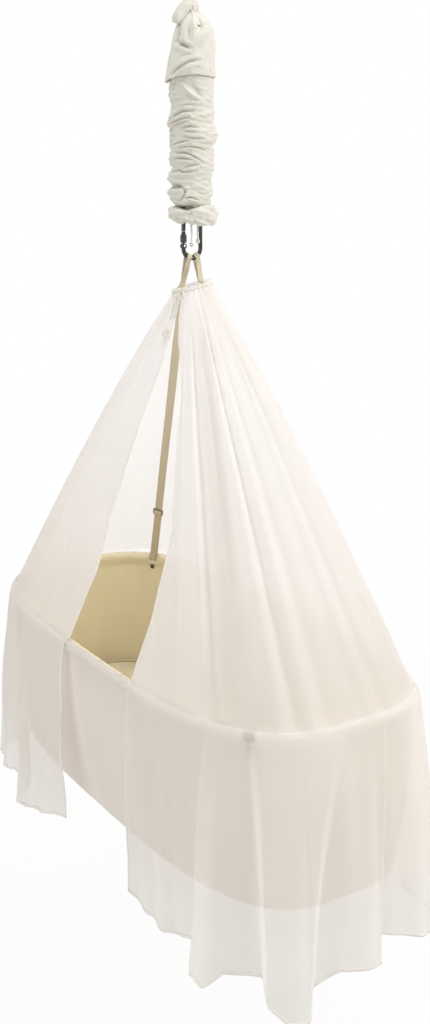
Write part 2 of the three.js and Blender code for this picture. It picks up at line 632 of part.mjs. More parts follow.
// Carabiner in the YZ plane, with its gate on the -Y side
function buildCarabiner() {
  const gateY = -bowRadius;
  const noseZ = topBowZ - CARABINER_NOSE_LENGTH;
  const hingeZ = bottomBowZ + GATE_LUG_RADIUS - SEAT_GAP;
  const topBow = arc(vec(0, 0, topBowZ), Y_AXIS, Z_AXIS, bowRadius, Math.PI, 0, 10);
  const bottomBow = arc(vec(0, 0, bottomBowZ), Y_AXIS, Z_AXIS, bowRadius, 0, -Math.PI, 10);
  const path = [vec(0, gateY, noseZ), ...topBow, ...bottomBow, vec(0, gateY, hingeZ)];
  const lug = cylinderBetween(
    vec(-GATE_LUG_WIDTH / 2, gateY, hingeZ),
    vec(GATE_LUG_WIDTH / 2, gateY, hingeZ),
    GATE_LUG_RADIUS,
    14,
  );
  const holeRadius = GATE_PIN_RADIUS + SEAT_GAP;
  const hole = cylinderBetween(
    vec(-GATE_LUG_WIDTH, gateY, hingeZ),
    vec(GATE_LUG_WIDTH, gateY, hingeZ),
    holeRadius,
    12,
  );
  const slotFloor = hingeZ - GATE_TONGUE_RADIUS - SEAT_GAP;
  const slotTop = hingeZ + GATE_LUG_RADIUS + CUT_OVERRUN_LENGTH;
  const slotWidth = GATE_TONGUE_THICKNESS + SEAT_GAP * 2;
  const slot = boxAt(
    vec(0, gateY, (slotFloor + slotTop) / 2),
    vec(slotWidth, GATE_LUG_RADIUS * 2 + CUT_OVERRUN_LENGTH * 2, slotTop - slotFloor),
  );
  const bodyRod = rod(path, CARABINER_ROD_RADIUS);
  addPart("carabiner_body", cut(join(bodyRod, lug), slot, hole), darkSteel);

  const gateTopZ = noseZ - SEAT_GAP * 1.5;
  const gateRodBottomZ = hingeZ + GATE_LUG_RADIUS + SEAT_GAP * 2;
  const gateRod = cylinderBetween(
    vec(0, gateY, gateRodBottomZ),
    vec(0, gateY, gateTopZ),
    CARABINER_ROD_RADIUS,
    ROD_SIDES * 2,
  );
  const tongueDisc = cylinderBetween(
    vec(-GATE_TONGUE_THICKNESS / 2, gateY, hingeZ),
    vec(GATE_TONGUE_THICKNESS / 2, gateY, hingeZ),
    GATE_TONGUE_RADIUS,
    14,
  );
  const tongueTop = gateRodBottomZ + SEAT_GAP;
  const tongueBar = boxAt(
    vec(0, gateY, (hingeZ + tongueTop) / 2),
    vec(GATE_TONGUE_THICKNESS, GATE_TONGUE_RADIUS, tongueTop - hingeZ),
  );
  addPart("carabiner_gate", cut(join(gateRod, tongueDisc, tongueBar), hole), darkSteel);

  addPart(
    "carabiner_gate_pin",
    cylinderBetween(
      vec(-GATE_LUG_WIDTH / 2, gateY, hingeZ),
      vec(GATE_LUG_WIDTH / 2, gateY, hingeZ),
      GATE_PIN_RADIUS,
      10,
    ),
    brightSteel,
  );

  const sleeveInner = CARABINER_ROD_RADIUS + SEAT_GAP;
  const sleeveOuter = sleeveInner + GATE_SLEEVE_WALL;
  const sleeveBottomZ = gateRodBottomZ + SEAT_GAP;
  const sleeveProfile = [
    [sleeveInner, 0],
    [sleeveOuter - GATE_SLEEVE_WALL / 3, 0],
    [sleeveOuter, GATE_SLEEVE_WALL],
    [sleeveOuter, GATE_SLEEVE_LENGTH - GATE_SLEEVE_WALL],
    [sleeveOuter - GATE_SLEEVE_WALL / 3, GATE_SLEEVE_LENGTH],
    [sleeveInner, GATE_SLEEVE_LENGTH],
  ];
  const rings = Array.from({ length: 16 }, (unused, i) => {
    const angle = (i / 16) * Math.PI * 2;
    return sleeveProfile.map(([r, up]) =>
      vec(Math.cos(angle) * r, gateY + Math.sin(angle) * r, sleeveBottomZ + up),
    );
  });
  addPart("carabiner_gate_sleeve", loft(rings, true), brightSteel);
}

// Outline of the hoop: the angle of the curve at a share of its length round from the foot end by the far side
const unitOutline = (angle) => {
  const c = Math.cos(angle);
  const s = Math.sin(angle);
  const bend = 2 / OUTLINE_POWER;
  return [Math.sign(c) * Math.abs(c) ** bend, Math.sign(s) * Math.abs(s) ** bend];
};
const outlineLengths = [0];
for (let i = 1; i <= OUTLINE_STEPS; i++) {
  const [x0, y0] = unitOutline(((i - 1) / OUTLINE_STEPS) * Math.PI * 2);
  const [x1, y1] = unitOutline((i / OUTLINE_STEPS) * Math.PI * 2);
  const step = Math.hypot((x1 - x0) * HOOP_HALF_LENGTH, (y1 - y0) * HOOP_HALF_WIDTH);
  outlineLengths.push(outlineLengths[i - 1] + step);
}
const hoopLength = outlineLengths[OUTLINE_STEPS];

function outlineAngle(share) {
  const target = (share - Math.floor(share)) * hoopLength;
  let low = 0;
  let high = OUTLINE_STEPS;
  while (high - low > 1) {
    const middle = (low + high) >> 1;
    if (outlineLengths[middle] <= target) low = middle;
    else high = middle;
  }
  const across = (target - outlineLengths[low]) / (outlineLengths[high] - outlineLengths[low]);
  return ((low + across) / OUTLINE_STEPS) * Math.PI * 2;
}

// Strap and hoop heights
const loopAngle = Math.asin(STRAP_LOOP_SPREAD_WIDTH / 2 / bowRadius);
const loopRodZ = bottomBowZ - Math.cos(loopAngle) * bowRadius;
const sewnEndZ = loopRodZ - STRAP_LOOP_DROP_HEIGHT;
const hoopZ = sewnEndZ - STRAP_DROP_HEIGHT;
const baseTopZ = hoopZ - BAG_DEPTH;

// A point of the bag's wall: a share round the hoop, a height from the hoop's centre and an offset outwards.
function wallPoint(share, height, offset) {
  const down = Math.min(Math.max(-height / BAG_DEPTH, 0), 1);
  const belly = WALL_BELLY_DEPTH * Math.sin(Math.PI * down);
  const halfLength = lerp(HOOP_HALF_LENGTH, BASE_HALF_LENGTH, down) + belly + offset;
  const halfWidth = lerp(HOOP_HALF_WIDTH, BASE_HALF_WIDTH, down) + belly + offset;
  const [x, y] = unitOutline(outlineAngle(share));
  return vec(x * halfLength, y * halfWidth, hoopZ + height);
}

// The same on the straight facet between the wall's columns.
function facetPoint(column, height, offset) {
  const low = Math.floor(column);
  const from = wallPoint(low / GRID, height, offset);
  const to = wallPoint((low + 1) / GRID, height, offset);
  return from.lerp(to, column - low);
}

const outerFace = LAYER_GAP / 2 + BAG_CLOTH_THICKNESS;
const bindingLeg = outerFace + SEAT_GAP; // inside face of the binding's lower edge
const panelTop = -(HOOP_ROD_RADIUS + SEAT_GAP * 2 + STRAP_THICKNESS + SEAT_GAP * 2);
const panelBottom = -BAG_DEPTH + SEAT_GAP;
const strapColumns = {
  foot_far: STRAP_COLUMN_SHARE,
  head_far: GRID / 2 - STRAP_COLUMN_SHARE,
  head_near: GRID / 2 + STRAP_COLUMN_SHARE,
  foot_near: GRID - STRAP_COLUMN_SHARE,
};

// The directions along and out from the hoop at a strap
function hoopFrame(column) {
  const center = facetPoint(column, 0, 0);
  const low = Math.floor(column);
  const along = wallPoint((low + 1) / GRID, 0, 0)
    .sub(wallPoint(low / GRID, 0, 0))
    .normalize();
  if (along.y < 0) along.negate();
  const outward = along.clone().cross(Z_AXIS).normalize();
  if (outward.dot(center.clone().setZ(0)) < 0) outward.negate();
  return { center, along, outward };
}

function rivetPoints(column) {
  const inner = facetPoint(column, -RIVET_DROP_HEIGHT, 0);
  const { outward } = hoopFrame(column);
  const legShare = (RIVET_DROP_HEIGHT - RIVET_HEAD_RADIUS * 2) / BINDING_DROP_HEIGHT;
  const reach = lerp(BINDING_RADIUS, bindingLeg, legShare) + BINDING_THICKNESS;
  return { middle: inner, outward, reach };
}

const rivetHole = (column) => {
  const { middle, outward, reach } = rivetPoints(column);
  const far = reach + CUT_OVERRUN_LENGTH;
  return cylinderBetween(
    middle.clone().addScaledVector(outward, -far),
    middle.clone().addScaledVector(outward, far),
    RIVET_SHANK_RADIUS + SEAT_GAP,
    8,
  );
};

function buildHoop() {
  const endShare = HOOP_END_GAP / 2 / hoopLength;
  for (const [name, first, last] of [
    ["hoop_rod_head", GRID / 4, (GRID * 3) / 4],
    ["hoop_rod_foot", -GRID / 4, GRID / 4],
  ]) {
    const path = [wallPoint(first / GRID + endShare, 0, 0)];
    for (let c = first + 1; c < last; c++) path.push(wallPoint(c / GRID, 0, 0));
    path.push(wallPoint(last / GRID - endShare, 0, 0));
    addPart(name, rod(path, HOOP_ROD_RADIUS, 8), darkSteel);
  }
  for (const [name, share] of [
    ["hoop_ferrule_far", 1 / 4],
    ["hoop_ferrule_near", 3 / 4],
  ]) {
    const middle = wallPoint(share, 0, 0);
    const inner = HOOP_ROD_RADIUS + SEAT_GAP;
    const outer = inner + FERRULE_WALL;
    const half = vec(FERRULE_LENGTH / 2, 0, 0);
    const tube = cylinderBetween(middle.clone().sub(half), middle.clone().add(half), outer, 16);
    half.x += CUT_OVERRUN_LENGTH;
    const bore = cylinderBetween(middle.clone().sub(half), middle.clone().add(half), inner, 16);
    addPart(name, cut(tube, bore), brightSteel);
  }
}

// Cloth of the bag's wall between two columns, from its outer to its inner offset
function wallPanel(firstColumn, lastColumn, outerOffset, innerOffset, closed) {
  const gapShare = SEAM_GAP / 2 / hoopLength;
  const shares = [];
  for (let c = firstColumn; c <= lastColumn; c++) shares.push(c / GRID);
  if (closed) shares.pop();
  else {
    shares[0] += gapShare;
    shares[shares.length - 1] -= gapShare;
  }
  const grid = (offset) =>
    wallRowShares.map((down) =>
      shares.map((share) => wallPoint(share, lerp(panelTop, panelBottom, down), offset)),
    );
  return sheet(grid(outerOffset), grid(innerOffset), closed);
}

// A flat plate with the base's outline
function basePlate(offset, bottomHeight, topHeight) {
  const ring = (height) =>
    Array.from({ length: GRID }, (unused, c) => wallPoint(c / GRID, -BAG_DEPTH, offset).setZ(hoopZ + height));
  return loft([ring(bottomHeight), ring(topHeight)]);
}

function buildBag() {
  const c = CORNER_COLUMN;
  const half = GRID / 2;
  const outerPanels = [
    ["bag_panel_foot", -c, c],
    ["bag_panel_far", c, half - c],
    ["bag_panel_head", half - c, half + c],
    ["bag_panel_near", half + c, GRID - c],
  ];
  for (const [name, first, last] of outerPanels) {
    let panel = wallPanel(first, last, outerFace, LAYER_GAP / 2, false);
    const holes = Object.values(strapColumns)
      .map((column) => (column > GRID - c ? column - GRID : column))
      .filter((column) => column > first && column < last)
      .map(rivetHole);
    if (holes.length) panel = cut(panel, ...holes);
    addPart(name, panel, shellCloth);
  }
  const lining = wallPanel(0, GRID, -LAYER_GAP / 2, -outerFace, true);
  addPart("lining_wall", cut(lining, ...Object.values(strapColumns).map(rivetHole)), liningCloth);

  addPart("bag_base", basePlate(outerFace, -BAG_DEPTH - BAG_CLOTH_THICKNESS, -BAG_DEPTH), shellCloth);
  const insideOffset = -outerFace - SEAT_GAP - LAYER_GAP;
  const boardBottom = -BAG_DEPTH + SEAT_GAP;
  const boardTop = boardBottom + BASE_BOARD_THICKNESS;
  addPart("base_board", basePlate(insideOffset, boardBottom, boardTop), board);
  const liningBottom = boardTop + SEAT_GAP;
  const liningTop = liningBottom + BAG_CLOTH_THICKNESS;
  addPart("lining_base", basePlate(insideOffset, liningBottom, liningTop), liningCloth);
  buildMattress(liningTop + SEAT_GAP);
}

// Mattress: flat below, with a crown, a firm edge and drawn-in sides
function buildMattress(bottom) {
  const full = -outerFace - MATTRESS_CLEARANCE;
  const rows = [
    [full - MATTRESS_EDGE_RADIUS, bottom],
    [full, bottom + MATTRESS_EDGE_RADIUS / 2],
    [full - MATTRESS_DRAW_IN_DEPTH, bottom + MATTRESS_HEIGHT / 2],
    [full, bottom + MATTRESS_HEIGHT - MATTRESS_EDGE_RADIUS / 2],
    [full - MATTRESS_EDGE_RADIUS, bottom + MATTRESS_HEIGHT],
  ];
  const rings = rows.map(([offset, height]) =>
    Array.from({ length: GRID }, (unused, c) => wallPoint(c / GRID, -BAG_DEPTH, offset).setZ(hoopZ + height)),
  );
  // the crown's rings shrink towards the middle line
  const crownShares = [
    [0.75, 0.6],
    [0.4, 0.92],
  ];
  for (const [wide, high] of crownShares) {
    rings.push(
      rings[4].map((point) =>
        vec(point.x * lerp(wide, 1, 0.4), point.y * wide, point.z + MATTRESS_CROWN_HEIGHT * high),
      ),
    );
  }
  const top = hoopZ + bottom + MATTRESS_HEIGHT + MATTRESS_CROWN_HEIGHT;
  rings.push(rings[4].map((point) => vec(point.x * 0.4, point.y * 0.05, top)));
  addPart("mattress", loft(rings), mattressCloth);
}

// Binding: a cloth channel over the hoop, open below, notched where the straps pass
function buildBinding() {
  const outside = BINDING_RADIUS + BINDING_THICKNESS;
  const legOutside = bindingLeg + BINDING_THICKNESS;
  const turns = 3;
  const over = (radius, turn) => {
    const angle = (turn / turns) * Math.PI;
    return [Math.cos(angle) * radius, Math.sin(angle) * radius];
  };
  const section = [[legOutside, -BINDING_DROP_HEIGHT]];
  for (let turn = 0; turn <= turns; turn++) section.push(over(outside, turn));
  section.push([-legOutside, -BINDING_DROP_HEIGHT], [-bindingLeg, -BINDING_DROP_HEIGHT]);
  for (let turn = turns; turn >= 0; turn--) section.push(over(BINDING_RADIUS, turn));
  section.push([bindingLeg, -BINDING_DROP_HEIGHT]);
  const rings = Array.from({ length: GRID }, (unused, c) =>
    section.map(([offset, height]) => wallPoint(c / GRID, height, offset)),
  );
  const channel = loft(rings, true);
  const tools = [];
  for (const column of Object.values(strapColumns)) {
    const { center, along, outward } = hoopFrame(column);
    const floor = panelTop + SEAT_GAP;
    const roof = outside + CUT_OVERRUN_LENGTH;
    const middle = center.clone();
    middle.z += (floor + roof) / 2;
    const size = vec(BINDING_NOTCH_WIDTH, (outside + CUT_OVERRUN_LENGTH) * 2, roof - floor);
    tools.push(boxAt(middle, size, along, Z_AXIS.clone().cross(along), Z_AXIS));
    tools.push(rivetHole(column));
  }
  addPart("hoop_binding", cut(channel, ...tools), shellCloth);
}

// A rivet through the binding and both cloths under each strap
function buildRivets() {
  for (const [corner, column] of Object.entries(strapColumns)) {
    const { middle, outward, reach } = rivetPoints(column);
    const seat = reach + SEAT_GAP;
    const profile = [
      [0, -seat - RIVET_HEAD_HEIGHT],
      [RIVET_HEAD_RADIUS * 0.7, -seat - RIVET_HEAD_HEIGHT],
      [RIVET_HEAD_RADIUS, -seat],
      [RIVET_SHANK_RADIUS, -seat],
      [RIVET_SHANK_RADIUS, seat],
      [RIVET_HEAD_RADIUS, seat],
      [RIVET_HEAD_RADIUS * 0.7, seat + RIVET_HEAD_HEIGHT],
      [0, seat + RIVET_HEAD_HEIGHT],
    ];
    const lathe = new THREE.LatheGeometry(
      profile.map(([r, along]) => new THREE.Vector2(r, along)),
      8,
    );
    const turn = new THREE.Quaternion().setFromUnitVectors(Y_AXIS, outward);
    lathe.applyQuaternion(turn).translate(middle.x, middle.y, middle.z);
    addPart("strap_rivet_" + corner, lathe, darkSteel);
  }
}

// Webbing through stations of {point, across, width}, with square corners kept at full thickness
function webbingBody(stations, closed = false) {
  const count = stations.length;
  const at = (i) => stations[(i + count) % count];
  const rings = stations.map((station, i) => {
    const before = closed || i > 0 ? station.point.clone().sub(at(i - 1).point) : null;
    const after = closed || i < count - 1 ? at(i + 1).point.clone().sub(station.point) : null;
    const normalOf = (direction) => direction.clone().cross(station.across).normalize();
    const first = normalOf(before ?? after);
    const second = normalOf(after ?? before);
    const normal = first.clone().add(second).normalize();
    const reach = STRAP_THICKNESS / 2 / Math.max(normal.dot(first), 0.5);
    const side = station.across.clone().multiplyScalar(station.width / 2);
    const face = normal.multiplyScalar(reach);
    const corner = (s, f) => station.point.clone().addScaledVector(side, s).addScaledVector(face, f);
    return [corner(1, 1), corner(-1, 1), corner(-1, -1), corner(1, -1)];
  });
  return loft(rings, closed);
}

// Sizes of the woven slider, from its middle bar outwards
const plyStep = STRAP_THICKNESS + SEAT_GAP;
const wrapReach = SLIDER_BAR_WIDTH / 2 + SEAT_GAP + STRAP_THICKNESS / 2;
const crossReach = wrapReach + plyStep;
const outerBarFrom = crossReach + STRAP_THICKNESS / 2 + SEAT_GAP;
const outerBarTo = outerBarFrom + SLIDER_BAR_WIDTH;
const backReach = SLIDER_PLATE_THICKNESS / 2 + SEAT_GAP + STRAP_THICKNESS / 2;
const frontReach = backReach + plyStep;
const plateLift = backReach + plyStep / 2;

function strapFrame(column, sewnEnd) {
  const { center, along, outward } = hoopFrame(column);
  const up = sewnEnd.clone().sub(center).normalize();
  const across = along.clone().addScaledVector(up, -along.dot(up)).normalize();
  const inward = across.clone().cross(up).normalize();
  if (inward.dot(outward) > 0) inward.negate();
  const roundUp = up.clone().addScaledVector(along, -up.dot(along)).normalize();
  const roundIn = roundUp.clone().cross(along).normalize();
  if (roundIn.dot(inward) < 0) roundIn.negate();
  return { center, along, outward, up, across, inward, roundUp, roundIn };
}

function strapLeg(column, sewnEnd, topAcross) {
  const frame = strapFrame(column, sewnEnd);
  const { center, along, up, across, inward, roundUp, roundIn } = frame;
  const place = (inwardBy, upBy) =>
    center.clone().addScaledVector(inward, inwardBy).addScaledVector(up, upBy);
  const stations = [];
  const put = (point, direction = across, width = STRAP_WIDTH) =>
    stations.push({ point, across: direction, width });

  // the single ply from the sewn end to the slider, turning from the loop's direction to the hoop's
  const length = sewnEnd.distanceTo(center);
  const weave = SLIDER_DISTANCE + crossReach;
  const legShares = [0, 0.03, 0.09, 0.2, 0.4, 0.6, 0.8];
  for (const share of legShares) {
    const turned = topAcross.clone().lerp(across, Math.min(share * 2, 1));
    turned.addScaledVector(up, -turned.dot(up)).normalize();
    const width = lerp(STRAP_LOOP_WIDTH, STRAP_WIDTH, Math.min(share * 4, 1));
    const sideways = Math.min(share * 2, 1) * (plyStep / 2);
    put(place(sideways, lerp(length, weave, share)), turned, width);
  }
  // through the upper slot, in front of the middle bar and out through the lower slot
  const back = plyStep / 2;
  const front = plateLift + frontReach;
  put(place(back, weave));
  put(place(front, weave));
  put(place(front, SLIDER_DISTANCE - crossReach));
  put(place(back, SLIDER_DISTANCE - crossReach));

  // down to the hoop, round it and up again
  const roundRadius = HOOP_ROD_RADIUS + SEAT_GAP + STRAP_THICKNESS / 2;
  const spread = roundRadius * 5;
  put(place(back, spread));
  const turns = 8;
  for (let i = 0; i <= turns; i++) {
    const angle = lerp(0.15, -Math.PI - 0.15, i / turns);
    const point = center
      .clone()
      .addScaledVector(roundIn, Math.cos(angle) * roundRadius)
      .addScaledVector(roundUp, Math.sin(angle) * roundRadius);
    put(point, along);
  }
  put(place(-back, spread));
  // the returning ply ends in a wrap round the slider's middle bar
  const wrapBack = plateLift - backReach;
  put(place(-back, SLIDER_DISTANCE - wrapReach));
  put(place(wrapBack, SLIDER_DISTANCE - wrapReach));
  put(place(wrapBack, SLIDER_DISTANCE + wrapReach));
  put(place(plateLift + backReach, SLIDER_DISTANCE + wrapReach));
  put(place(plateLift + backReach, SLIDER_DISTANCE - SLIDER_BAR_WIDTH / 2));
  return { frame, geometry: webbingBody(stations) };
}

function buildStraps() {
  for (const [name, side, corners] of [
    ["strap_head", -1, ["head_near", "head_far"]],
    ["strap_foot", 1, ["foot_near", "foot_far"]],
  ]) {
    const bowAcross = vec(0, Math.cos(loopAngle), side * Math.sin(loopAngle));
    const upwards = vec(0, -side * Math.sin(loopAngle), Math.cos(loopAngle));
    const rodCenter = vec(0, (side * STRAP_LOOP_SPREAD_WIDTH) / 2, loopRodZ);
    const around = CARABINER_ROD_RADIUS + STRAP_LOOP_CLEARANCE + STRAP_THICKNESS / 2;
    const loop = arc(rodCenter, X_AXIS, upwards, around, 0, Math.PI, 8).map((point) => ({
      point,
      across: bowAcross,
      width: STRAP_LOOP_WIDTH,
    }));
    const sewnEnd = vec(side * STRAP_SEWN_DISTANCE, (side * STRAP_SEWN_SPREAD_WIDTH) / 2, sewnEndZ);
    const down = vec(side * STRAP_SEWN_DISTANCE, 0, -STRAP_LOOP_DROP_HEIGHT).normalize();
    const ply = Y_AXIS.clone().cross(down).normalize();
    if (ply.x < 0) ply.negate();
    for (const ways of [-1, 1]) {
      const point = sewnEnd.clone().addScaledVector(ply, (ways * plyStep) / 2);
      loop.push({ point, across: Y_AXIS, width: STRAP_LOOP_WIDTH });
    }
    const legs = corners.map((corner) => strapLeg(strapColumns[corner], sewnEnd, Y_AXIS));
    addPart(name, join(webbingBody(loop, true), ...legs.map((leg) => leg.geometry)), webbing);
    corners.forEach((corner, i) => buildSlider("strap_slider_" + corner, legs[i].frame));
  }
}

// Slider: a flat plate with two slots, so three bars across the webbing
function buildSlider(name, { center, up, across, inward }) {
  const halfWidth = STRAP_WIDTH / 2 + SLIDER_SIDE_CLEARANCE;
  const middle = center
    .clone()
    .addScaledVector(up, SLIDER_DISTANCE)
    .addScaledVector(inward, plateLift);
  const third = across.clone().cross(up);
  const plateSize = vec((halfWidth + SLIDER_RAIL_WIDTH) * 2, outerBarTo * 2, SLIDER_PLATE_THICKNESS);
  const plate = boxAt(middle, plateSize, across, up, third);
  const slots = [-1, 1].map((side) => {
    const reach = (side * (outerBarFrom + SLIDER_BAR_WIDTH / 2)) / 2;
    const slotMiddle = middle.clone().addScaledVector(up, reach);
    const height = outerBarFrom - SLIDER_BAR_WIDTH / 2;
    const size = vec(halfWidth * 2, height, SLIDER_PLATE_THICKNESS + CUT_OVERRUN_LENGTH);
    return boxAt(slotMiddle, size, across, up, third);
  });
  addPart(name, cut(plate, ...slots), darkSteel);
}

const gatherZ = sewnEndZ - GATHER_DROP_HEIGHT;
// how far a base larger than the hoop stands out under it
const baseSpread = Math.max(BASE_HALF_LENGTH - HOOP_HALF_LENGTH, BASE_HALF_WIDTH - HOOP_HALF_WIDTH, 0);

function gatherPoint(share, offset) {
  const [x, y] = unitOutline(outlineAngle(share));
  return vec(x * (GATHER_HALF_LENGTH + offset), y * (GATHER_HALF_WIDTH + offset), gatherZ);
}

// A point of the veil: its row, and its column of foldShares
function veilPoint(row, column) {
  const [hemShare, foldShare, hangShare] = foldShares[column];
  const lastRow = slitLeftShares.length - 1;
  const from = slitRightShares[lastRow];
  const along = (hemShare - from) / (slitLeftShares[lastRow] + 1 - from);
  const share = lerp(slitRightShares[row], slitLeftShares[row] + 1, along);
  const fold = foldShare * foldRowShares[row] * VEIL_FOLD_DEPTH;
  if (row === 0) {
    const frill = gatherPoint(share, VEIL_FRILL_WIDTH + fold);
    frill.z += VEIL_FRILL_HEIGHT;
    return frill;
  }
  const lastTent = tentRowShares.length;
  if (row <= lastTent) {
    const seat = wallPoint(share, VEIL_OVER_HOOP_HEIGHT, CUT_OVERRUN_LENGTH);
    const point = gatherPoint(share, 0).lerp(seat, tentRowShares[row - 1]);
    const outwards = vec(point.x, point.y, 0).normalize();
    point.addScaledVector(outwards, fold * Math.SQRT1_2);
    point.z += fold * Math.SQRT1_2 * Math.min(row - 1, 1);
    return point;
  }
  const down = hangRowShares[row - lastTent - 1];
  const drop = down * VEIL_HANG_LENGTH * hangShare;
  const offset = VEIL_OUTSIDE_HOOP_DISTANCE + (VEIL_FLARE_WIDTH + baseSpread) * down + fold;
  const drawnIn = wallPoint(share, -Math.min(drop, BAG_DEPTH), offset);
  const point = wallPoint(share, VEIL_OUTSIDE_HEIGHT, offset).lerp(drawnIn, hemDrawInShare * down);
  return point.setZ(hoopZ + VEIL_OUTSIDE_HEIGHT - drop);
}

function buildVeil() {
  const grid = slitLeftShares.map((unused, row) => foldShares.map((fold, column) => veilPoint(row, column)));
  addPart("veil", sheet(grid, offsetGrid(grid, VEIL_THICKNESS, false), false), veilCloth);

  // the drawstring runs round the gather, and its bow hangs over the slit
  const clear = VEIL_FOLD_DEPTH * foldRowShares[1] + SEAT_GAP + DRAWSTRING_RADIUS;
  const steps = 24;
  const stringPath = Array.from({ length: steps }, (unused, i) => gatherPoint(i / steps, clear));
  addPart("veil_drawstring", closedRod(stringPath, DRAWSTRING_RADIUS, Z_AXIS, 6), cottonCord);

  const slitShare = (slitLeftShares[1] + slitRightShares[1]) / 2;
  const bowPoint = gatherPoint(slitShare, clear + DRAWSTRING_RADIUS * 2 + SEAT_GAP * 2);
  addPart("veil_bow_upper", bowGeometry(bowPoint, BOW_TAIL_LENGTH, BOW_LOOP_LENGTH), cottonCord);

  const lastColumn = foldShares.length - 1;
  const top = veilPoint(1, lastColumn);
  const along = veilPoint(2, lastColumn).sub(top).normalize();
  const lowerPoint = top.addScaledVector(along, LOWER_BOW_DROP_HEIGHT);
  const tentOut = vec(0, -1, 1).normalize();
  lowerPoint.addScaledVector(tentOut, DRAWSTRING_RADIUS * 2);
  const lowerBow = bowGeometry(lowerPoint, LOWER_BOW_TAIL_LENGTH, LOWER_BOW_LOOP_LENGTH);
  addPart("veil_bow_lower", lowerBow, cottonCord);
}

// A small bow: a knot, two loops and two tails that lie on the sloping veil
function bowGeometry(knot, tailLength, loopLength) {
  const out = Y_AXIS.clone().negate();
  const pieces = [new THREE.IcosahedronGeometry(DRAWSTRING_RADIUS * 1.6).translate(knot.x, knot.y, knot.z)];
  const forward = DRAWSTRING_RADIUS * 2;
  for (const side of [-1, 1]) {
    const at = (sideways, drop, outBy) =>
      knot
        .clone()
        .addScaledVector(X_AXIS, side * sideways)
        .addScaledVector(out, outBy + drop * TENT_SLOPE)
        .addScaledVector(Z_AXIS, -drop);
    const bowRod = (points) =>
      rod(new THREE.CatmullRomCurve3(points).getPoints(points.length * 2), DRAWSTRING_RADIUS * 0.8, 5);
    pieces.push(
      bowRod([
        at(0, 0, 0),
        at(loopLength * 0.55, -loopLength * 0.12, forward),
        at(loopLength, loopLength * 0.2, forward * 1.2),
        at(loopLength * 0.65, loopLength * 0.6, forward * 1.2),
        at(0, loopLength * 0.1, forward * 0.4),
      ]),
      bowRod([
        at(0, 0, 0),
        at(loopLength * 0.14, tailLength * 0.35, forward),
        at(loopLength * 0.24, tailLength, forward * 0.7),
      ]),
    );
  }
  return join(...pieces);
}

buildHangers();
buildHooks();
buildSpring();
buildCover();
buildDrawcord();
buildCarabiner();
buildHoop();
buildBag();
buildBinding();
buildRivets();
buildStraps();
buildVeil();

export default cradle;
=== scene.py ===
# Looks of the hanging baby cradle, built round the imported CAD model. Metres, +Z up.
import math

import bpy
import numpy as np
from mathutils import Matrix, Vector


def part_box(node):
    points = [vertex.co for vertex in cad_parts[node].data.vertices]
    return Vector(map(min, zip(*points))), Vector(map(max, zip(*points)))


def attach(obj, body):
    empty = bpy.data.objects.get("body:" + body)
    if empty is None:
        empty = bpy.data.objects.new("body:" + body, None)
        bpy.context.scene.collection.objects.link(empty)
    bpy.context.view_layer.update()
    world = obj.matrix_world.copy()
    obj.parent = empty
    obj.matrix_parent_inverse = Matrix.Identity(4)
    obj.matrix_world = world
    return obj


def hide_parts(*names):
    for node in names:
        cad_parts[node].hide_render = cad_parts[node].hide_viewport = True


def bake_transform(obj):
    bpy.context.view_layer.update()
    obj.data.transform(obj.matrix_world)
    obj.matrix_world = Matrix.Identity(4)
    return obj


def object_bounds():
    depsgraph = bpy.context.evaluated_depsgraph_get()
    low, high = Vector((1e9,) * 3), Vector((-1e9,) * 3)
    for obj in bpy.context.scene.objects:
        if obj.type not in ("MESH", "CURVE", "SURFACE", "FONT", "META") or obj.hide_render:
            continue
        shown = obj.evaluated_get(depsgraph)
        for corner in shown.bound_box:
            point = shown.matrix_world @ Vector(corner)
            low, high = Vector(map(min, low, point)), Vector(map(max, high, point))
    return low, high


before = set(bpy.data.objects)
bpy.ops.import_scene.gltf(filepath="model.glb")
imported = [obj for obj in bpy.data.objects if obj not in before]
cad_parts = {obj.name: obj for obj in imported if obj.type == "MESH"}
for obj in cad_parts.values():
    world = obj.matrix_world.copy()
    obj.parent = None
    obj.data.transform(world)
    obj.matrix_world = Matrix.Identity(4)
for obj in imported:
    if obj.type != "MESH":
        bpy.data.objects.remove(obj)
cad_low, cad_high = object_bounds()
scene = bpy.context.scene

# Sizes of the source, in metres
OUTLINE_POWER = 3.25
BELLY = 0.007
CLOTH = 0.002
LAYER_GAP = 0.0005
GRID = 48
STRAP_COLUMN = 3.5
HOOP_ROD = 0.004
GATHER_HALF = (0.030, 0.021)
GATHER_SLOPE = 0.3
OVER_HOOP = 0.0116
OUTSIDE_HOOP = 0.0115
OUTSIDE_HEIGHT = 0.005


def low(node):
    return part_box(node)[0]


def high(node):
    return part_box(node)[1]


def middle(node):
    return (low(node) + high(node)) / 2


hoop_z = middle("hoop_rod_foot").z
hoop_half = [high("hoop_rod_foot")[k] - HOOP_ROD for k in (0, 1)]
base_z = high("bag_base").z
base_half = [high("bag_base")[k] - CLOTH - LAYER_GAP / 2 for k in (0, 1)]
bag_depth = hoop_z - base_z
gather_z = middle("veil_drawstring").z


# Outline of the hoop and points of the wall and the gather
def unit_outline(angle):
    c, s = np.cos(angle), np.sin(angle)
    bend = 2 / OUTLINE_POWER
    return np.sign(c) * np.abs(c) ** bend, np.sign(s) * np.abs(s) ** bend


table_angles = np.linspace(0, 2 * math.pi, 7201)
table_x, table_y = unit_outline(table_angles)
table_steps = np.hypot(np.diff(table_x * hoop_half[0]), np.diff(table_y * hoop_half[1]))
table_lengths = np.concatenate([[0], np.cumsum(table_steps)])
hoop_length = table_lengths[-1]


def evenly(count):
    """Places once round, as shares from 0 up to but without 1."""
    return np.arange(count) / count


def angles_round(count):
    return evenly(count) * 2 * np.pi


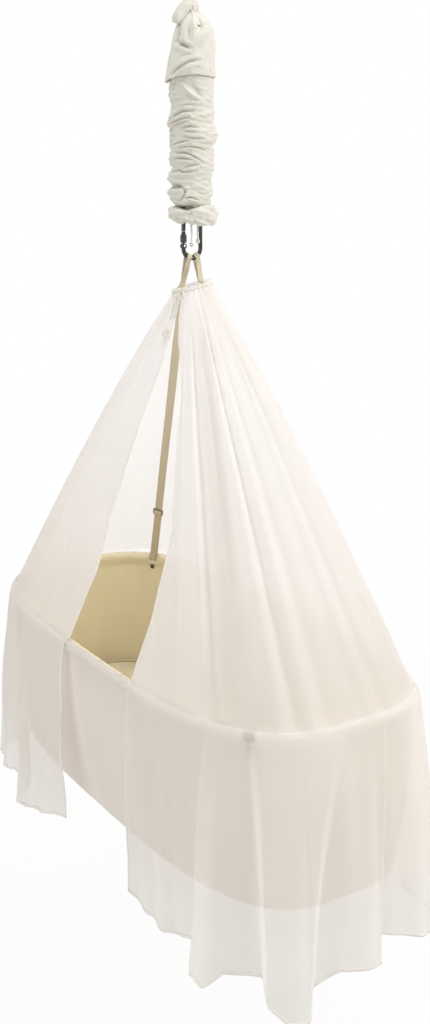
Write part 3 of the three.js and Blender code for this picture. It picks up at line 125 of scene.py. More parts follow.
def outline(share):
    angle = np.interp(np.mod(share, 1) * hoop_length, table_lengths, table_angles)
    return unit_outline(angle)


def wall(share, height, offset):
    down = np.clip(-height / bag_depth, 0, 1)
    belly = BELLY * np.sin(np.pi * down)
    half_x = hoop_half[0] + (base_half[0] - hoop_half[0]) * down + belly + offset
    half_y = hoop_half[1] + (base_half[1] - hoop_half[1]) * down + belly + offset
    x, y = outline(share)
    return np.stack([x * half_x, y * half_y, hoop_z + height + 0 * x], -1)


def gather(share, offset):
    x, y = outline(share)
    x, y = x * (GATHER_HALF[0] + offset), y * (GATHER_HALF[1] + offset)
    return np.stack([x, y, gather_z + gather_tilt(x, y)], -1)


def gather_tilt(x, y):
    """The gather hangs lower on the left of the photograph."""
    return GATHER_SLOPE * (0.541 * x + 0.841 * y)


def smooth(x, a, b):
    t = np.clip((x - a) / (b - a), 0, 1)
    return t * t * (3 - 2 * t)


def mix(a, b, t):
    return a + (b - a) * t


def bump(x, centre, width):
    return np.exp(-(((x - centre) / width) ** 2))


def waves(seed, u, v, lowest, highest, count, drift=1.0):
    """Smooth seeded unevenness over two directions, about -1 to 1."""
    random = np.random.default_rng(seed)
    total = 0 * u + 0 * v
    for _ in range(count):
        across = random.uniform(lowest, highest)
        along = random.uniform(-drift, drift) * across
        total = total + np.sin(2 * np.pi * (across * u + along * v + random.random()))
    return total / math.sqrt(count)


def fold_wave(phase, sharp=0.5):
    """A row of cloth folds, 0 in the valleys to 1 on the crests, narrower on top when sharp is larger."""
    return (0.5 + 0.5 * np.sin(phase)) ** (1 + sharp)


# Meshes
def set_cloth(mesh, cloth):
    """Keeps each point's place on the flat cloth, for its weave."""
    attribute = mesh.attributes.get("cloth") or mesh.attributes.new("cloth", "FLOAT_VECTOR", "POINT")
    attribute.data.foreach_set("vector", np.asarray(cloth, np.float32).ravel())


def mesh_piece(name, points, faces, material, cloth=None):
    mesh = bpy.data.meshes.new(name)
    mesh.from_pydata(np.asarray(points, float).reshape(-1, 3).tolist(), [], faces)
    mesh.validate()
    mesh.polygons.foreach_set("use_smooth", [True] * len(mesh.polygons))
    if cloth is not None:
        set_cloth(mesh, cloth)
    mesh.update()
    obj = bpy.data.objects.new(name, mesh)
    scene.collection.objects.link(obj)
    if material is not None:
        mesh.materials.append(material)
    return obj


def grid_faces(rows, columns, closed=False, keep=None, flip=False):
    """keep(row, column) says whether a face of the grid is made."""
    faces = []
    for r in range(rows - 1):
        for c in range(columns if closed else columns - 1):
            if keep is None or keep[r, c]:
                d = (c + 1) % columns
                face = (r * columns + c, r * columns + d, (r + 1) * columns + d, (r + 1) * columns + c)
                faces.append(face[::-1] if flip else face)
    return faces


def tube_faces(count, sides, closed=False):
    """Faces of a tube of rings that joins its own start, or has both ends capped."""
    faces = grid_faces(count, sides, closed=True)
    last = (count - 1) * sides
    if closed:
        return faces + [(last + s, last + (s + 1) % sides, (s + 1) % sides, s) for s in range(sides)]
    return faces + [tuple(range(sides))[::-1], tuple(last + s for s in range(sides))]


def distances(path):
    """How far along a path each of its points is."""
    return np.concatenate([[0], np.cumsum(np.linalg.norm(np.diff(path, axis=0), axis=1))])


def tube_cloth(around, along):
    u, v = np.broadcast_arrays(around[None, :], along[:, None])
    return np.stack([u, v, 0 * v], -1)


def cloth_coordinates(points):
    """Metres along the columns and rows of a grid of points."""
    across = np.linalg.norm(np.diff(points, axis=1), axis=2)
    down = np.linalg.norm(np.diff(points, axis=0), axis=2)
    u = np.concatenate([np.zeros((points.shape[0], 1)), np.cumsum(across, axis=1)], axis=1)
    v = np.concatenate([np.zeros((1, points.shape[1])), np.cumsum(down, axis=0)], axis=0)
    u = np.broadcast_to(u.mean(axis=0), u.shape)
    v = np.broadcast_to(v.mean(axis=1)[:, None], v.shape)
    return np.stack([u, v, 0 * u], -1)


def grid_piece(name, points, material, closed=False, keep=None, flip=False, thickness=0.0):
    rows, columns = points.shape[:2]
    cloth = cloth_coordinates(points)
    faces = grid_faces(rows, columns, closed, keep, flip)
    obj = mesh_piece(name, points, faces, material, cloth)
    if thickness:
        shell = obj.modifiers.new("thickness", "SOLIDIFY")
        shell.thickness = thickness
        shell.offset = 0
    return obj


def tube_rings(path, radius, sides, closed=False, first=None, flatten=1.0):
    """Rings of a round rod along a path. radius may vary along the path."""
    path = np.asarray(path, float)
    count = len(path)
    radius = np.broadcast_to(radius, (count,))
    tangents = np.roll(path, -1, 0) - np.roll(path, 1, 0) if closed else np.gradient(path, axis=0)
    tangents /= np.linalg.norm(tangents, axis=1)[:, None]
    if first is None:
        first = (0, 0, 1) if abs(tangents[0][2]) < 0.9 else (1, 0, 0)
    normal = np.array(first, float)
    angles = angles_round(sides)
    cosines, sines = np.cos(angles)[:, None], np.sin(angles)[:, None]
    rings = []
    for i in range(count):
        normal = normal - tangents[i] * normal.dot(tangents[i])
        normal /= np.linalg.norm(normal)
        other = np.cross(tangents[i], normal)
        rings.append(path[i] + radius[i] * (cosines * normal * flatten + sines * other))
    return np.array(rings)


def tube_piece(name, path, radius, material, sides=12, closed=False, first=None, flatten=1.0):
    rings = tube_rings(path, radius, sides, closed, first, flatten)
    cloth = tube_cloth(angles_round(sides) * np.max(radius), distances(np.asarray(path, float)))
    return mesh_piece(name, rings, tube_faces(len(rings), sides, closed), material, cloth)


def spline(points, steps):
    """A smooth curve through points, as a Catmull-Rom line."""
    p = np.asarray(points, float)
    p = np.concatenate([[2 * p[0] - p[1]], p, [2 * p[-1] - p[-2]]])
    out = []
    for i in range(1, len(p) - 2):
        for s in range(steps):
            t = s / steps
            a, b, c, d = p[i - 1:i + 3]
            square, cube = 2 * a - 5 * b + 4 * c - d, 3 * b - a - 3 * c + d
            out.append(0.5 * (2 * b + (c - a) * t + square * t * t + cube * t**3))
    out.append(p[-2])
    return np.array(out)


def turned_piece(name, profile, origin, axis, material, sides=32):
    """A turned piece: profile is a list of (radius, distance along the axis from the origin)."""
    axis = np.asarray(axis, float) / np.linalg.norm(axis)
    side = np.cross(axis, (0, 0, 1) if abs(axis[2]) < 0.9 else (1, 0, 0))
    side /= np.linalg.norm(side)
    other = np.cross(axis, side)
    angles = angles_round(sides)
    spokes = np.cos(angles)[:, None] * side + np.sin(angles)[:, None] * other
    rings = [np.asarray(origin, float) + axis * along + r * spokes for r, along in profile]
    return mesh_piece(name, rings, tube_faces(len(rings), sides), material)


def join(name, *objects):
    bpy.ops.object.select_all(action="DESELECT")
    for obj in objects:
        obj.select_set(True)
    bpy.context.view_layer.objects.active = objects[0]
    bpy.ops.object.join()
    objects[0].name = name
    return objects[0]


def part_of(piece, body, slot, *nodes):
    """Rides a piece on its body and lets it stand for CAD nodes. Its slot is not used."""
    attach(piece, body)
    if nodes:
        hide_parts(*nodes)


# Materials
def linear(rgb):
    return tuple(c / 255 / 12.92 if c / 255 <= 0.04045 else ((c / 255 + 0.055) / 1.055) ** 2.4 for c in rgb)


class Nodes:
    """A node tree, with short ways to add and link its nodes."""

    def __init__(self, tree):
        self.tree = tree

    def put(self, socket, value):
        """Links a socket, or gives it a number, a list of numbers or an (r, g, b) colour of 0 to 255."""
        if isinstance(value, bpy.types.NodeSocket):
            self.tree.links.new(value, socket)
        else:
            socket.default_value = (*linear(value), 1) if isinstance(value, tuple) else value

    def add(self, kind, inputs=(), **settings):
        node = self.tree.nodes.new("ShaderNode" + kind)
        for name, value in settings.items():
            setattr(node, name, value)
        for name, value in dict(inputs).items():
            self.put(node.inputs[name], value)
        return node

    def math(self, operation, a, b=0.5):
        return self.add("Math", {0: a, 1: b}, operation=operation).outputs[0]

    def noise(self, vector, scale, detail=3.0, roughness=0.55):
        inputs = {"Vector": vector, "Scale": scale, "Detail": detail, "Roughness": roughness}
        return self.add("TexNoise", inputs).outputs["Fac"]

    def ramp(self, factor, *stops):
        node = self.add("ValToRGB", {"Fac": factor})
        for element, (position, rgb) in zip(node.color_ramp.elements, stops):
            element.position = position
            element.color = (*linear(rgb), 1)
        return node.outputs["Color"]

    def mixed(self, factor, a, b, kind="Shader"):
        """The two shaders, or with kind RGBA the two colours, mixed."""
        if kind == "RGBA":
            return self.add("Mix", {"Factor": factor, "A": a, "B": b}, data_type=kind).outputs["Result"]
        return self.add("MixShader", {0: factor, 1: a, 2: b}).outputs[0]

    def relief(self, height, strength, distance, before=None):
        node = self.add("Bump", {"Strength": strength, "Distance": distance, "Height": height})
        if before is not None:
            self.put(node.inputs["Normal"], before)
        return node.outputs["Normal"]

    def place(self):
        return self.add("TexCoord").outputs["Object"]

    def cloth_axes(self):
        vector = self.add("Attribute", attribute_name="cloth").outputs["Vector"]
        split = self.add("SeparateXYZ", {0: vector})
        return vector, split.outputs[0], split.outputs[1]

    def seen_directly(self):
        """1 for what the camera, a reflection or a clear surface sees, and 0 for the light it gives."""
        path = self.add("LightPath").outputs
        seen = self.math("MAXIMUM", path["Is Camera Ray"], path["Is Glossy Ray"])
        return self.math("MAXIMUM", seen, path["Is Transmission Ray"])


class Shader(Nodes):
    """A material with a Principled surface, whose inputs are set by name."""

    def __init__(self, name, roughness, **inputs):
        self.material = bpy.data.materials.new(name)
        self.material.use_nodes = True
        super().__init__(self.material.node_tree)
        self.surface = self.tree.nodes["Principled BSDF"]
        self.set(Roughness=roughness, **inputs)

    def set(self, **inputs):
        for name, value in inputs.items():
            self.put(self.surface.inputs[name.replace("_", " ")], value)

    def finish_with(self, shader):
        self.put(self.tree.nodes["Material Output"].inputs["Surface"], shader)


def woven(name, rgb, pitch, depth, shade=0.94, sheen=0.25, wrinkle=0.4):
    """Cloth: a plain weave along its own directions, uneven yarn, soft creases and slight staining."""
    s = Shader(name, 0.9, Sheen_Weight=sheen, Sheen_Roughness=0.5, Specular_IOR_Level=0.2)
    vector, u, v = s.cloth_axes()
    place = s.place()
    turn = 2 * math.pi / pitch
    weave = s.math("MULTIPLY", *(s.math("SINE", s.math("MULTIPLY", along, turn)) for along in (u, v)))
    yarn = s.noise(vector, 900.0, 2.0)
    creases = s.noise(place, 38.0, 5.0, 0.6)
    stains = s.noise(place, 5.0, 3.0)
    base = s.ramp(stains, (0.3, tuple(int(c * shade) for c in rgb)), (0.7, rgb))
    threads = s.ramp(yarn, (0.25, tuple(int(c * 0.955) for c in rgb)), (0.75, rgb))
    bumps = s.relief(weave, 0.35, depth, s.relief(creases, wrinkle, 0.004))
    s.set(Base_Color=s.mixed(0.5, base, threads, "RGBA"), Normal=bumps)
    return s


def metal(name, rgb, roughness):
    """Metal with fine scratches, smudges in its gloss and paler worn places."""
    s = Shader(name, roughness, Metallic=1.0)
    place = s.place()
    smudge = s.noise(place, 60.0, 4.0)
    scratches = s.noise(place, 900.0, 2.0)
    least, most = roughness * 0.75, min(roughness * 1.4, 1)
    gloss = s.add("MapRange", {"Value": smudge, "To Min": least, "To Max": most}).outputs["Result"]
    worn = tuple(min(int(c * 1.25 + 12), 255) for c in rgb)
    s.set(
        Roughness=gloss,
        Base_Color=s.ramp(smudge, (0.35, rgb), (0.75, worn)),
        Normal=s.relief(scratches, 0.25, 0.0004),
    )
    return s.material


def muslin(name, rgb, alpha, through):
    """Thin cloth that shows what is behind it and glows with the light behind it."""
    s = woven(name, rgb, 0.0008, 0.0002, shade=0.97, sheen=0.1, wrinkle=0.12)
    s.set(Alpha=alpha)
    glow = s.add("BsdfTranslucent", {"Color": rgb})
    s.finish_with(s.mixed(through, s.surface.outputs[0], glow.outputs[0]))
    return s.material


def webbing_material():
    """Twill tape: ribs across, crossed by leaning lines."""
    s = Shader("webbing", 0.85, Sheen_Weight=0.2, Specular_IOR_Level=0.25)
    vector, u, v = s.cloth_axes()
    turn = 2 * math.pi / 0.0016
    rib = s.math("SINE", s.math("MULTIPLY", u, turn))
    leaning = s.math("ADD", v, s.math("MULTIPLY", u, 0.6))
    lean = s.math("SINE", s.math("MULTIPLY", leaning, turn * 0.8))
    yarn = s.noise(vector, 700.0, 3.0)
    s.set(
        Base_Color=s.ramp(yarn, (0.25, (206, 193, 165)), (0.75, (230, 219, 194))),
        Normal=s.relief(s.math("MULTIPLY", rib, lean), 0.6, 0.0005),
    )
    return s.material


def plywood_material():
    s = Shader("birch_plywood", 0.6)
    stretched = s.add("Mapping", {"Scale": [2.0, 40.0, 400.0], "Vector": s.place()}).outputs["Vector"]
    grain = s.noise(stretched, 3.0, 6.0, 0.6)
    s.set(
        Base_Color=s.ramp(grain, (0.3, (172, 134, 90)), (0.7, (206, 170, 122))),
        Normal=s.relief(grain, 0.2, 0.0006),
    )
    return s.material


# the tent's cloth is gathered and so denser than the single cloth that hangs from the hoop
cover_cotton = woven("cover_cotton", (219, 216, 204), 0.0011, 0.0002, shade=0.95, wrinkle=0.22).material
veil_muslin = muslin("veil_muslin", (247, 245, 244), 0.84, 0.50)
veil_single = muslin("veil_muslin_single", (249, 246, 241), 0.63, 0.46)
veil_hem = muslin("veil_hem", (253, 252, 249), 0.88, 0.65)
bag_canvas = woven("bag_canvas", (229, 220, 211), 0.0013, 0.0004, shade=0.95, wrinkle=0.3).material
lining_cotton = woven("lining_cotton", (254, 242, 207), 0.0010, 0.0003, shade=0.94, wrinkle=0.25).material
mattress_cover = woven("mattress_cover", (246, 233, 202), 0.0012, 0.0004, shade=0.94, wrinkle=0.3).material
cotton_cord = woven("cotton_cord", (244, 239, 226), 0.0012, 0.0005, shade=0.93, wrinkle=0.1).material
chrome = metal("bright_steel", (196, 196, 198), 0.2)
dark_metal = metal("dark_steel", (62, 60, 60), 0.28)
sleeve_metal = metal("sleeve_steel", (62, 60, 60), 0.34)
spring_wire = metal("spring_wire", (150, 150, 152), 0.35)
hoop_steel = metal("hoop_steel", (176, 173, 168), 0.45)
slider_metal = metal("slider_steel", (150, 134, 104), 0.4)
webbing = webbing_material()
plywood = plywood_material()


# Veil: one sheet from the frill over the gather, down the tent, over the hoop and down outside the bag
VEIL_COLUMNS = 860
FRILL_ROWS = 6
FRILL_OUT = 0.0035
HEM_THICK = 0.0011
HEM_START = 0.55
HANG_TOP = OUTSIDE_HEIGHT - 0.004
# the slit's edges: how far down, 1 being the hoop and 2 the hem, and share round the hoop
SLIT_RIGHT = (
    (0, 0.812), (0.08, 0.822), (0.2, 0.855), (0.28, 0.863), (0.41, 0.857), (0.55, 0.856), (0.61, 0.857),
    (0.69, 0.849), (0.77, 0.842), (0.84, 0.836), (0.9, 0.828), (0.96, 0.821), (1, 0.818), (1.5, 0.819),
    (2, 0.822),
)
SLIT_LEFT = (
    (0, 0.799), (0.1, 0.793), (0.2, 0.776), (0.32, 0.756), (0.455, 0.748), (0.56, 0.744), (0.64, 0.739),
    (0.73, 0.743), (0.8, 0.742), (0.86, 0.736), (0.95, 0.729), (1, 0.726), (1.5, 0.73), (2, 0.741),
)
# hem height under the hoop by share, the sharp steps being folds that overlap
HEM = (
    (0.55, 0.345), (0.592, 0.352), (0.63, 0.322), (0.6605, 0.318), (0.664, 0.342), (0.676, 0.339),
    (0.70, 0.318), (0.74, 0.290), (0.77, 0.30), (0.800, 0.306), (0.814, 0.318), (0.842, 0.338),
    (0.862, 0.342), (0.884, 0.334), (0.887, 0.336), (0.889, 0.366), (0.900, 0.367), (0.914, 0.334),
    (0.9355, 0.334), (0.938, 0.356), (0.950, 0.382), (0.9585, 0.382), (0.961, 0.352), (0.978, 0.338),
    (1.007, 0.358), (1.011, 0.332), (1.016, 0.330), (1.030, 0.342), (1.055, 0.366), (1.070, 0.384),
    (1.10, 0.392), (1.14, 0.372), (1.19, 0.348), (1.25, 0.338), (1.32, 0.352), (1.38, 0.338),
    (1.44, 0.350), (1.49, 0.362), (1.55, 0.345),
)
# how far each panel of the hem stands out from the bag
STAND = (
    (0.55, 0.036), (0.575, 0.042), (0.60, 0.040), (0.6605, 0.022), (0.664, 0.046), (0.74, 0.045),
    (0.80, 0.030), (0.886, 0.030), (0.889, 0.060), (0.9355, 0.058), (0.938, 0.086), (0.9585, 0.084),
    (0.962, 0.056), (1.007, 0.052), (1.012, 0.030), (1.030, 0.040), (1.070, 0.050), (1.12, 0.040),
    (1.2, 0.046), (1.3, 0.036), (1.4, 0.048), (1.5, 0.036), (1.55, 0.036),
)
# where a fold at the hem starts at the hoop
HOOP_TO_HEM = (
    (0.55, 0.55), (0.645, 0.662), (0.70, 0.70), (0.818, 0.814), (0.897, 0.8875), (0.929, 0.937),
    (0.986, 0.960), (1.018, 1.0095), (1.06, 1.06), (1.55, 1.55),
)
# folds of the tent: share, half width as a share, and height
TENT_FOLDS = (
    (0.680, 0.006, 0.004), (0.700, 0.005, -0.004), (0.842, 0.006, 0.004), (0.868, 0.005, -0.003),
    (0.8925, 0.0062, 0.011), (0.9055, 0.0058, -0.008), (0.9225, 0.006, 0.004), (0.9455, 0.0065, 0.008),
    (0.9575, 0.005, -0.007), (0.9665, 0.006, 0.008), (0.979, 0.005, -0.003), (1.012, 0.006, 0.005),
    (1.024, 0.005, -0.004), (1.062, 0.007, 0.006), (1.078, 0.006, -0.005),
)


def table(pairs, x):
    return np.interp(x, [p[0] for p in pairs], [p[1] for p in pairs])


def around(pairs, share):
    """A table of the hem's turn, which starts at HEM_START, read at any share."""
    return table(pairs, HEM_START + np.mod(share - HEM_START, 1))


def from_share(share, centre):
    """How far round from a place, as a share of the turn from -0.5 to 0.5."""
    return np.mod(share - centre + 0.5, 1) - 0.5


def veil_rows():
    """Each row's kind and how far down its part it is."""
    rows = [("frill", t) for t in np.linspace(0, 1, FRILL_ROWS + 1)[:-1]]
    rows += [("tent", t) for t in np.linspace(0, 1, 84)[:-1] ** 1.05]
    rows += [("bend", t) for t in np.linspace(0, 1, 9)[:-1]]
    return rows + [("hang", t) for t in np.linspace(0, 1, 62)]


def fine_folds(share, t):
    """Pleats of the gather that merge into broader folds down the tent."""
    wander = 0.9 * np.sin(2 * np.pi * (3 * share + 0.3))
    wander = wander + 0.6 * np.sin(2 * np.pi * (7 * share + 0.1 + 0.15 * t))
    strength = 0.65 + 0.35 * np.sin(2 * np.pi * (5 * share + 0.2))
    near = np.exp(-t / 0.1)
    total = 0.0023 * near * (fold_wave(2 * np.pi * 31 * share + wander) - 0.4)
    second = smooth(t, 0.0, 0.15) * np.exp(-t / 0.45)
    broad = fold_wave(2 * np.pi * 17 * share + 1.7 * wander + 1) - 0.4
    total = total + 0.0030 * second * strength * broad
    third = smooth(t, 0.15, 0.6) * (1 - 0.55 * smooth(t, 0.8, 1))
    total = total + 0.0025 * third * waves(4, share, 0.02 * t, 8, 21, 6, 0.4)
    return total + 0.0008 * third * waves(9, share, t * 0.05, 24, 60, 8, 0.3)


def tent_folds(share, t):
    total = 0 * share
    for centre, width, height in TENT_FOLDS:
        total = total + height * bump(from_share(share, centre), 0, width * (0.75 + 0.25 * t))
    return total * smooth(t, 0.02, 0.3) * (1 - 0.35 * smooth(t, 0.85, 1))


def hang_fold(share, down):
    """How far the hanging cloth stands out from the wall, down being 0 at the hoop and 1 at the hem."""
    hem_share = mix(around(HOOP_TO_HEM, share) + np.floor(share - HEM_START), share, down)
    stand = mix(OUTSIDE_HOOP, around(STAND, hem_share), down**0.75)
    soft = 0.0045 * waves(21, share, down * 0.03, 10, 26, 6, 0.25) * smooth(down, 0.0, 0.5)
    fine = 0.0016 * waves(22, share, down * 0.05, 30, 70, 7, 0.2) * smooth(down, 0.02, 0.4)
    # the sides that the photograph hides have even folds
    hidden = smooth(np.mod(share - HEM_START, 1), 0.55, 0.62)
    folds = fold_wave(2 * np.pi * 17 * share + 1.2 * np.sin(2 * np.pi * 3 * share), 0.4) - 0.5
    return stand + soft + hidden * 0.016 * smooth(down, 0, 0.6) * folds + fine


def veil_point(kind, t, share):
    """Points of one row of the veil."""
    if kind == "frill":
        flare = FRILL_OUT + 0.002 * (1 - t) ** 1.5 + fine_folds(share, 0) * (1 + 0.5 * (1 - t))
        points = gather(share, flare)
        points[:, 2] += 0.0055 * (1 - t) * (1 + 0.25 * waves(31, share, 0, 9, 25, 5))
        return points
    if kind == "tent":
        points = mix(gather(share, FRILL_OUT), wall(share, OVER_HOOP, 0.002), t)
        outward = points[:, :2] / np.linalg.norm(points[:, :2], axis=1)[:, None]
        convex = 0.010 * math.sin(math.pi * t**0.8)
        out = fine_folds(share, t) + tent_folds(share, t) + convex
        points[:, :2] += outward * (out * 0.8)[:, None]
        points[:, 2] += out * 0.55 * min(t * 8, 1)
        return points
    if kind == "bend":
        # over the hoop on a quarter round
        start = veil_point("tent", 1.0, share)
        corner = wall(share, OVER_HOOP, OUTSIDE_HOOP * 0.75)
        corner[:, 2] = hoop_z + OVER_HOOP - 0.001
        end = wall(share, HANG_TOP, hang_fold(share, 0 * share))
        end[:, 2] = hoop_z + HANG_TOP
        return (1 - t) ** 2 * start + 2 * t * (1 - t) * corner + t * t * end
    # the cloth hangs more straight down from the hoop than along the bag's wall
    drop = t * around(HEM, share)
    fold = hang_fold(share, t)
    points = wall(share, 0 * share, fold)
    tuck = wall(share, -np.minimum(drop, bag_depth), fold)
    points[:, :2] = mix(points[:, :2], tuck[:, :2], 0.35 * smooth(t, 0, 1))
    points[:, 2] = hoop_z + HANG_TOP - drop
    return points


def build_veil():
    rows = veil_rows()
    grid = []
    for kind, t in rows:
        v = {"frill": 0.0, "tent": t, "bend": 1.0, "hang": 1 + t}[kind]
        share = np.linspace(table(SLIT_RIGHT, v), table(SLIT_LEFT, v) + 1, VEIL_COLUMNS)
        grid.append(veil_point(kind, t, share))
    grid = np.array(grid)
    veil = grid_piece("veil_cloth", grid, veil_muslin)
    veil.data.materials.append(veil_single)
    first_hanging = [kind for kind, _ in rows].index("bend") + 3
    which = [int(face.vertices[0] // VEIL_COLUMNS >= first_hanging) for face in veil.data.polygons]
    veil.data.polygons.foreach_set("material_index", which)
    # doubled hem along the bottom and the slit's two edges
    edges = {
        "bottom": grid[-2:],
        "right": grid[FRILL_ROWS:, :3].transpose(1, 0, 2),
        "left": grid[FRILL_ROWS:, -3:].transpose(1, 0, 2),
    }
    strips = [
        grid_piece("veil_hem_" + name, edge, veil_hem, thickness=HEM_THICK) for name, edge in edges.items()
    ]
    hem = join("veil_hem", *strips)
    part_of(veil, "cradle", "sheer_veil", "veil")
    part_of(hem, "cradle", "sheer_veil")


build_veil()


# Bag: outer canvas, tan lining, binding over the hoop
PANEL_TOP = -0.0068
SHELL_THICK = 0.0014
BINDING_THICK = 0.0013
SEAM_SHARES = (4 / 48, 20 / 48, 28 / 48, 44 / 48)
STRAP_SHARES = {
    "foot_far": STRAP_COLUMN / GRID,
    "head_far": 0.5 - STRAP_COLUMN / GRID,
    "head_near": 0.5 + STRAP_COLUMN / GRID,
    "foot_near": 1 - STRAP_COLUMN / GRID,
}


def wall_relief(share, height, seed):
    """Puckers under the binding, soft drag folds, and a pinched line at each seam."""
    down = -height / bag_depth
    puckers = 0.0011 * np.exp(-down / 0.12) * waves(seed, share, down * 0.1, 50, 120, 8, 0.2)
    drag = 0.0016 * np.sin(np.pi * np.clip(down, 0, 1)) * waves(seed + 1, share, down * 0.12, 4, 22, 8, 1.2)
    foot = 0.0008 * smooth(down, 0.75, 1) * waves(seed + 2, share, down * 0.2, 30, 80, 6, 0.3)
    seams = sum(bump(from_share(share, s), 0, 0.0009) for s in SEAM_SHARES)
    return puckers + drag + foot - 0.0009 * seams


def shell_grid(bottom_z, offset, sag):
    """Rings of a layer of the bag: its wall from the top down, the turn into the base, and the base."""
    share = evenly(360)
    seed = 41
    lowest = bottom_z - hoop_z
    grid = []
    for t in np.linspace(0, 1, 34):
        height = mix(PANEL_TOP, lowest + 0.004, t) + 0 * share
        grid.append(wall(share, height, offset + wall_relief(share, height, seed)))
    for inset, lift in ((0.001, 0.0018), (0.003, 0.0006), (0.006, 0)):
        ring = wall(share, -bag_depth + 0 * share, offset - inset)
        ring[:, 2] = bottom_z + lift
        grid.append(ring)
    edge = wall(share, lowest + 0 * share, offset)
    for scale in (0.93, 0.82, 0.66, 0.48, 0.28, 0.1):
        ring = edge.copy()
        ring[:, :2] *= scale
        ring[:, 2] = bottom_z - sag * (1 - scale**2) + 0.0006 * waves(seed + 5, share, scale, 2, 9, 5)
        grid.append(ring)
    return np.array(grid)


def build_bag():
    middle_of_layer = (LAYER_GAP + CLOTH) / 2
    outer = shell_grid(base_z - 0.001, middle_of_layer, 0.0004)
    inner = shell_grid(high("lining_base").z - 0.001, -middle_of_layer, 0)
    bag = grid_piece("bag_shell", outer, bag_canvas, closed=True, thickness=SHELL_THICK)
    lining = grid_piece("lining_shell", inner, lining_cotton, closed=True, thickness=SHELL_THICK)
    panels = ["bag_panel_" + side for side in ("foot", "far", "head", "near")]
    part_of(bag, "cradle", "bag_cloth", *panels, "bag_base")
    part_of(lining, "cradle", "lining", "lining_wall", "lining_base")


def build_binding():
    """A cloth channel over the hoop. Its outside is canvas and its inside the lining's cloth."""
    radius, leg, drop = 0.0083, 0.0028, 0.0145
    columns = 720
    share = evenly(columns)
    notch = 0.0088 / hoop_length
    near_strap = np.zeros(columns, bool)
    for centre in STRAP_SHARES.values():
        near_strap |= np.abs(from_share(share + 0.5 / columns, centre)) < notch
    for name, side, cloth in (("outer", 1, bag_canvas), ("inner", -1, lining_cotton)):
        section = [(side * mix(leg, leg + 0.0005, t), mix(-drop, -0.011, t)) for t in (0, 0.5, 1)]
        for angle in np.linspace(-0.55, math.pi / 2, 12):
            section.append((side * radius * math.cos(angle), radius * math.sin(angle)))
        grid = []
        keep = np.ones((len(section), columns), bool)
        for i, (offset, height) in enumerate(section):
            pucker = 0.0006 * waves(61, share, i * 0.01, 60, 150, 8, 0.3)
            grid.append(wall(share, height + pucker * 0.6, offset + side * pucker))
            if height > PANEL_TOP - 0.002:
                keep[i] &= ~near_strap
        grid = np.array(grid)
        piece = grid_piece("binding_" + name, grid, cloth, True, keep, side > 0, BINDING_THICK)
        if side > 0:
            part_of(piece, "cradle", "bag_cloth", "hoop_binding")
        else:
            part_of(piece, "cradle", "lining")


build_bag()
build_binding()


# Mattress: a crowned pad with drawn-in sides, puffed by a short cloth simulation.
# Its section is how far out from the bag's base outline, and how far up as a share of its height.
MATTRESS_SECTION = (
    (-0.16, 0.0), (-0.05, 0.0), (-0.012, 0.0), (-0.003, 0.05), (0.0, 0.14), (-0.002, 0.3),
    (-0.0035, 0.45), (-0.002, 0.6), (0.0, 0.74), (-0.004, 0.82), (-0.013, 0.875), (-0.035, 0.915),
    (-0.07, 0.955), (-0.12, 0.99), (-0.16, 1.0),
)
mattress_low, mattress_high = low("mattress").z, high("mattress").z
mattress_out = high("mattress").x - base_half[0]
PIPING = 0.0021
SHRINK = 0.003
PUFF_VOXEL = 0.006
PUFF_PRESSURE = 4.0
PUFF_FRAMES = 20
PUFF_MOST = 0.008
CROWN = 0.004


def mattress_ring(share, out, z):
    ring = wall(share, -bag_depth + 0 * share, mattress_out + out)
    ring[:, 2] = z
    return ring


def mattress_rings(shrink):
    """The pad a little smaller than its solid, because it swells."""
    height = mattress_high - mattress_low - 2 * shrink
    share = evenly(160)
    start = mattress_low + shrink
    rings = [mattress_ring(share, inset - shrink, start + height * up) for inset, up in MATTRESS_SECTION]
    return np.array(rings)


def closed_loft(name, grid, material):
    """Closed rings with a fan of triangles over each end."""
    rows, columns = grid.shape[:2]
    faces = grid_faces(rows, columns, closed=True)
    ends = []
    for r, flip in ((0, False), (rows - 1, True)):
        centre = grid[r].mean(axis=0)
        ends.append(centre)
        index = rows * columns + len(ends) - 1
        for c in range(columns):
            d = (c + 1) % columns
            face = (r * columns + c, index, r * columns + d)
            faces.append(face[::-1] if flip else face)
    return mesh_piece(name, np.concatenate([grid.reshape(-1, 3), np.array(ends)]), faces, material)


def modifiers_applied(obj):
    """Keeps the object and makes its evaluated mesh its own."""
    graph = bpy.context.evaluated_depsgraph_get()
    graph.update()
    mesh = bpy.data.meshes.new_from_object(obj.evaluated_get(graph))
    obj.modifiers.clear()
    old = obj.data
    obj.data = mesh
    bpy.data.meshes.remove(old)


def mesh_points(mesh):
    points = np.zeros(len(mesh.vertices) * 3)
    mesh.vertices.foreach_get("co", points)
    return points.reshape(-1, 3)


def puff(obj):
    """Where the points of a closed mesh go when it swells like stuffed cloth, PUFF_MOST at most."""
    remesh = obj.modifiers.new("remesh", "REMESH")
    remesh.mode = "VOXEL"
    remesh.voxel_size = PUFF_VOXEL
    modifiers_applied(obj)
    before = mesh_points(obj.data)
    cloth = obj.modifiers.new("cloth", "CLOTH")
    cloth.settings.use_pressure = True
    cloth.settings.uniform_pressure_force = PUFF_PRESSURE
    cloth.settings.effector_weights.gravity = 0
    cloth.settings.quality = 4
    cloth.collision_settings.use_collision = False
    cloth.point_cache.frame_start = 1
    cloth.point_cache.frame_end = PUFF_FRAMES
    for step in range(1, PUFF_FRAMES + 1):
        scene.frame_set(step)
    graph = bpy.context.evaluated_depsgraph_get()
    move = mesh_points(obj.evaluated_get(graph).to_mesh()) - before
    obj.modifiers.clear()
    scene.frame_set(1)
    size = np.linalg.norm(move, axis=1)
    move *= (np.minimum(size, PUFF_MOST) / np.maximum(size, 1e-9))[:, None]
    return before + move


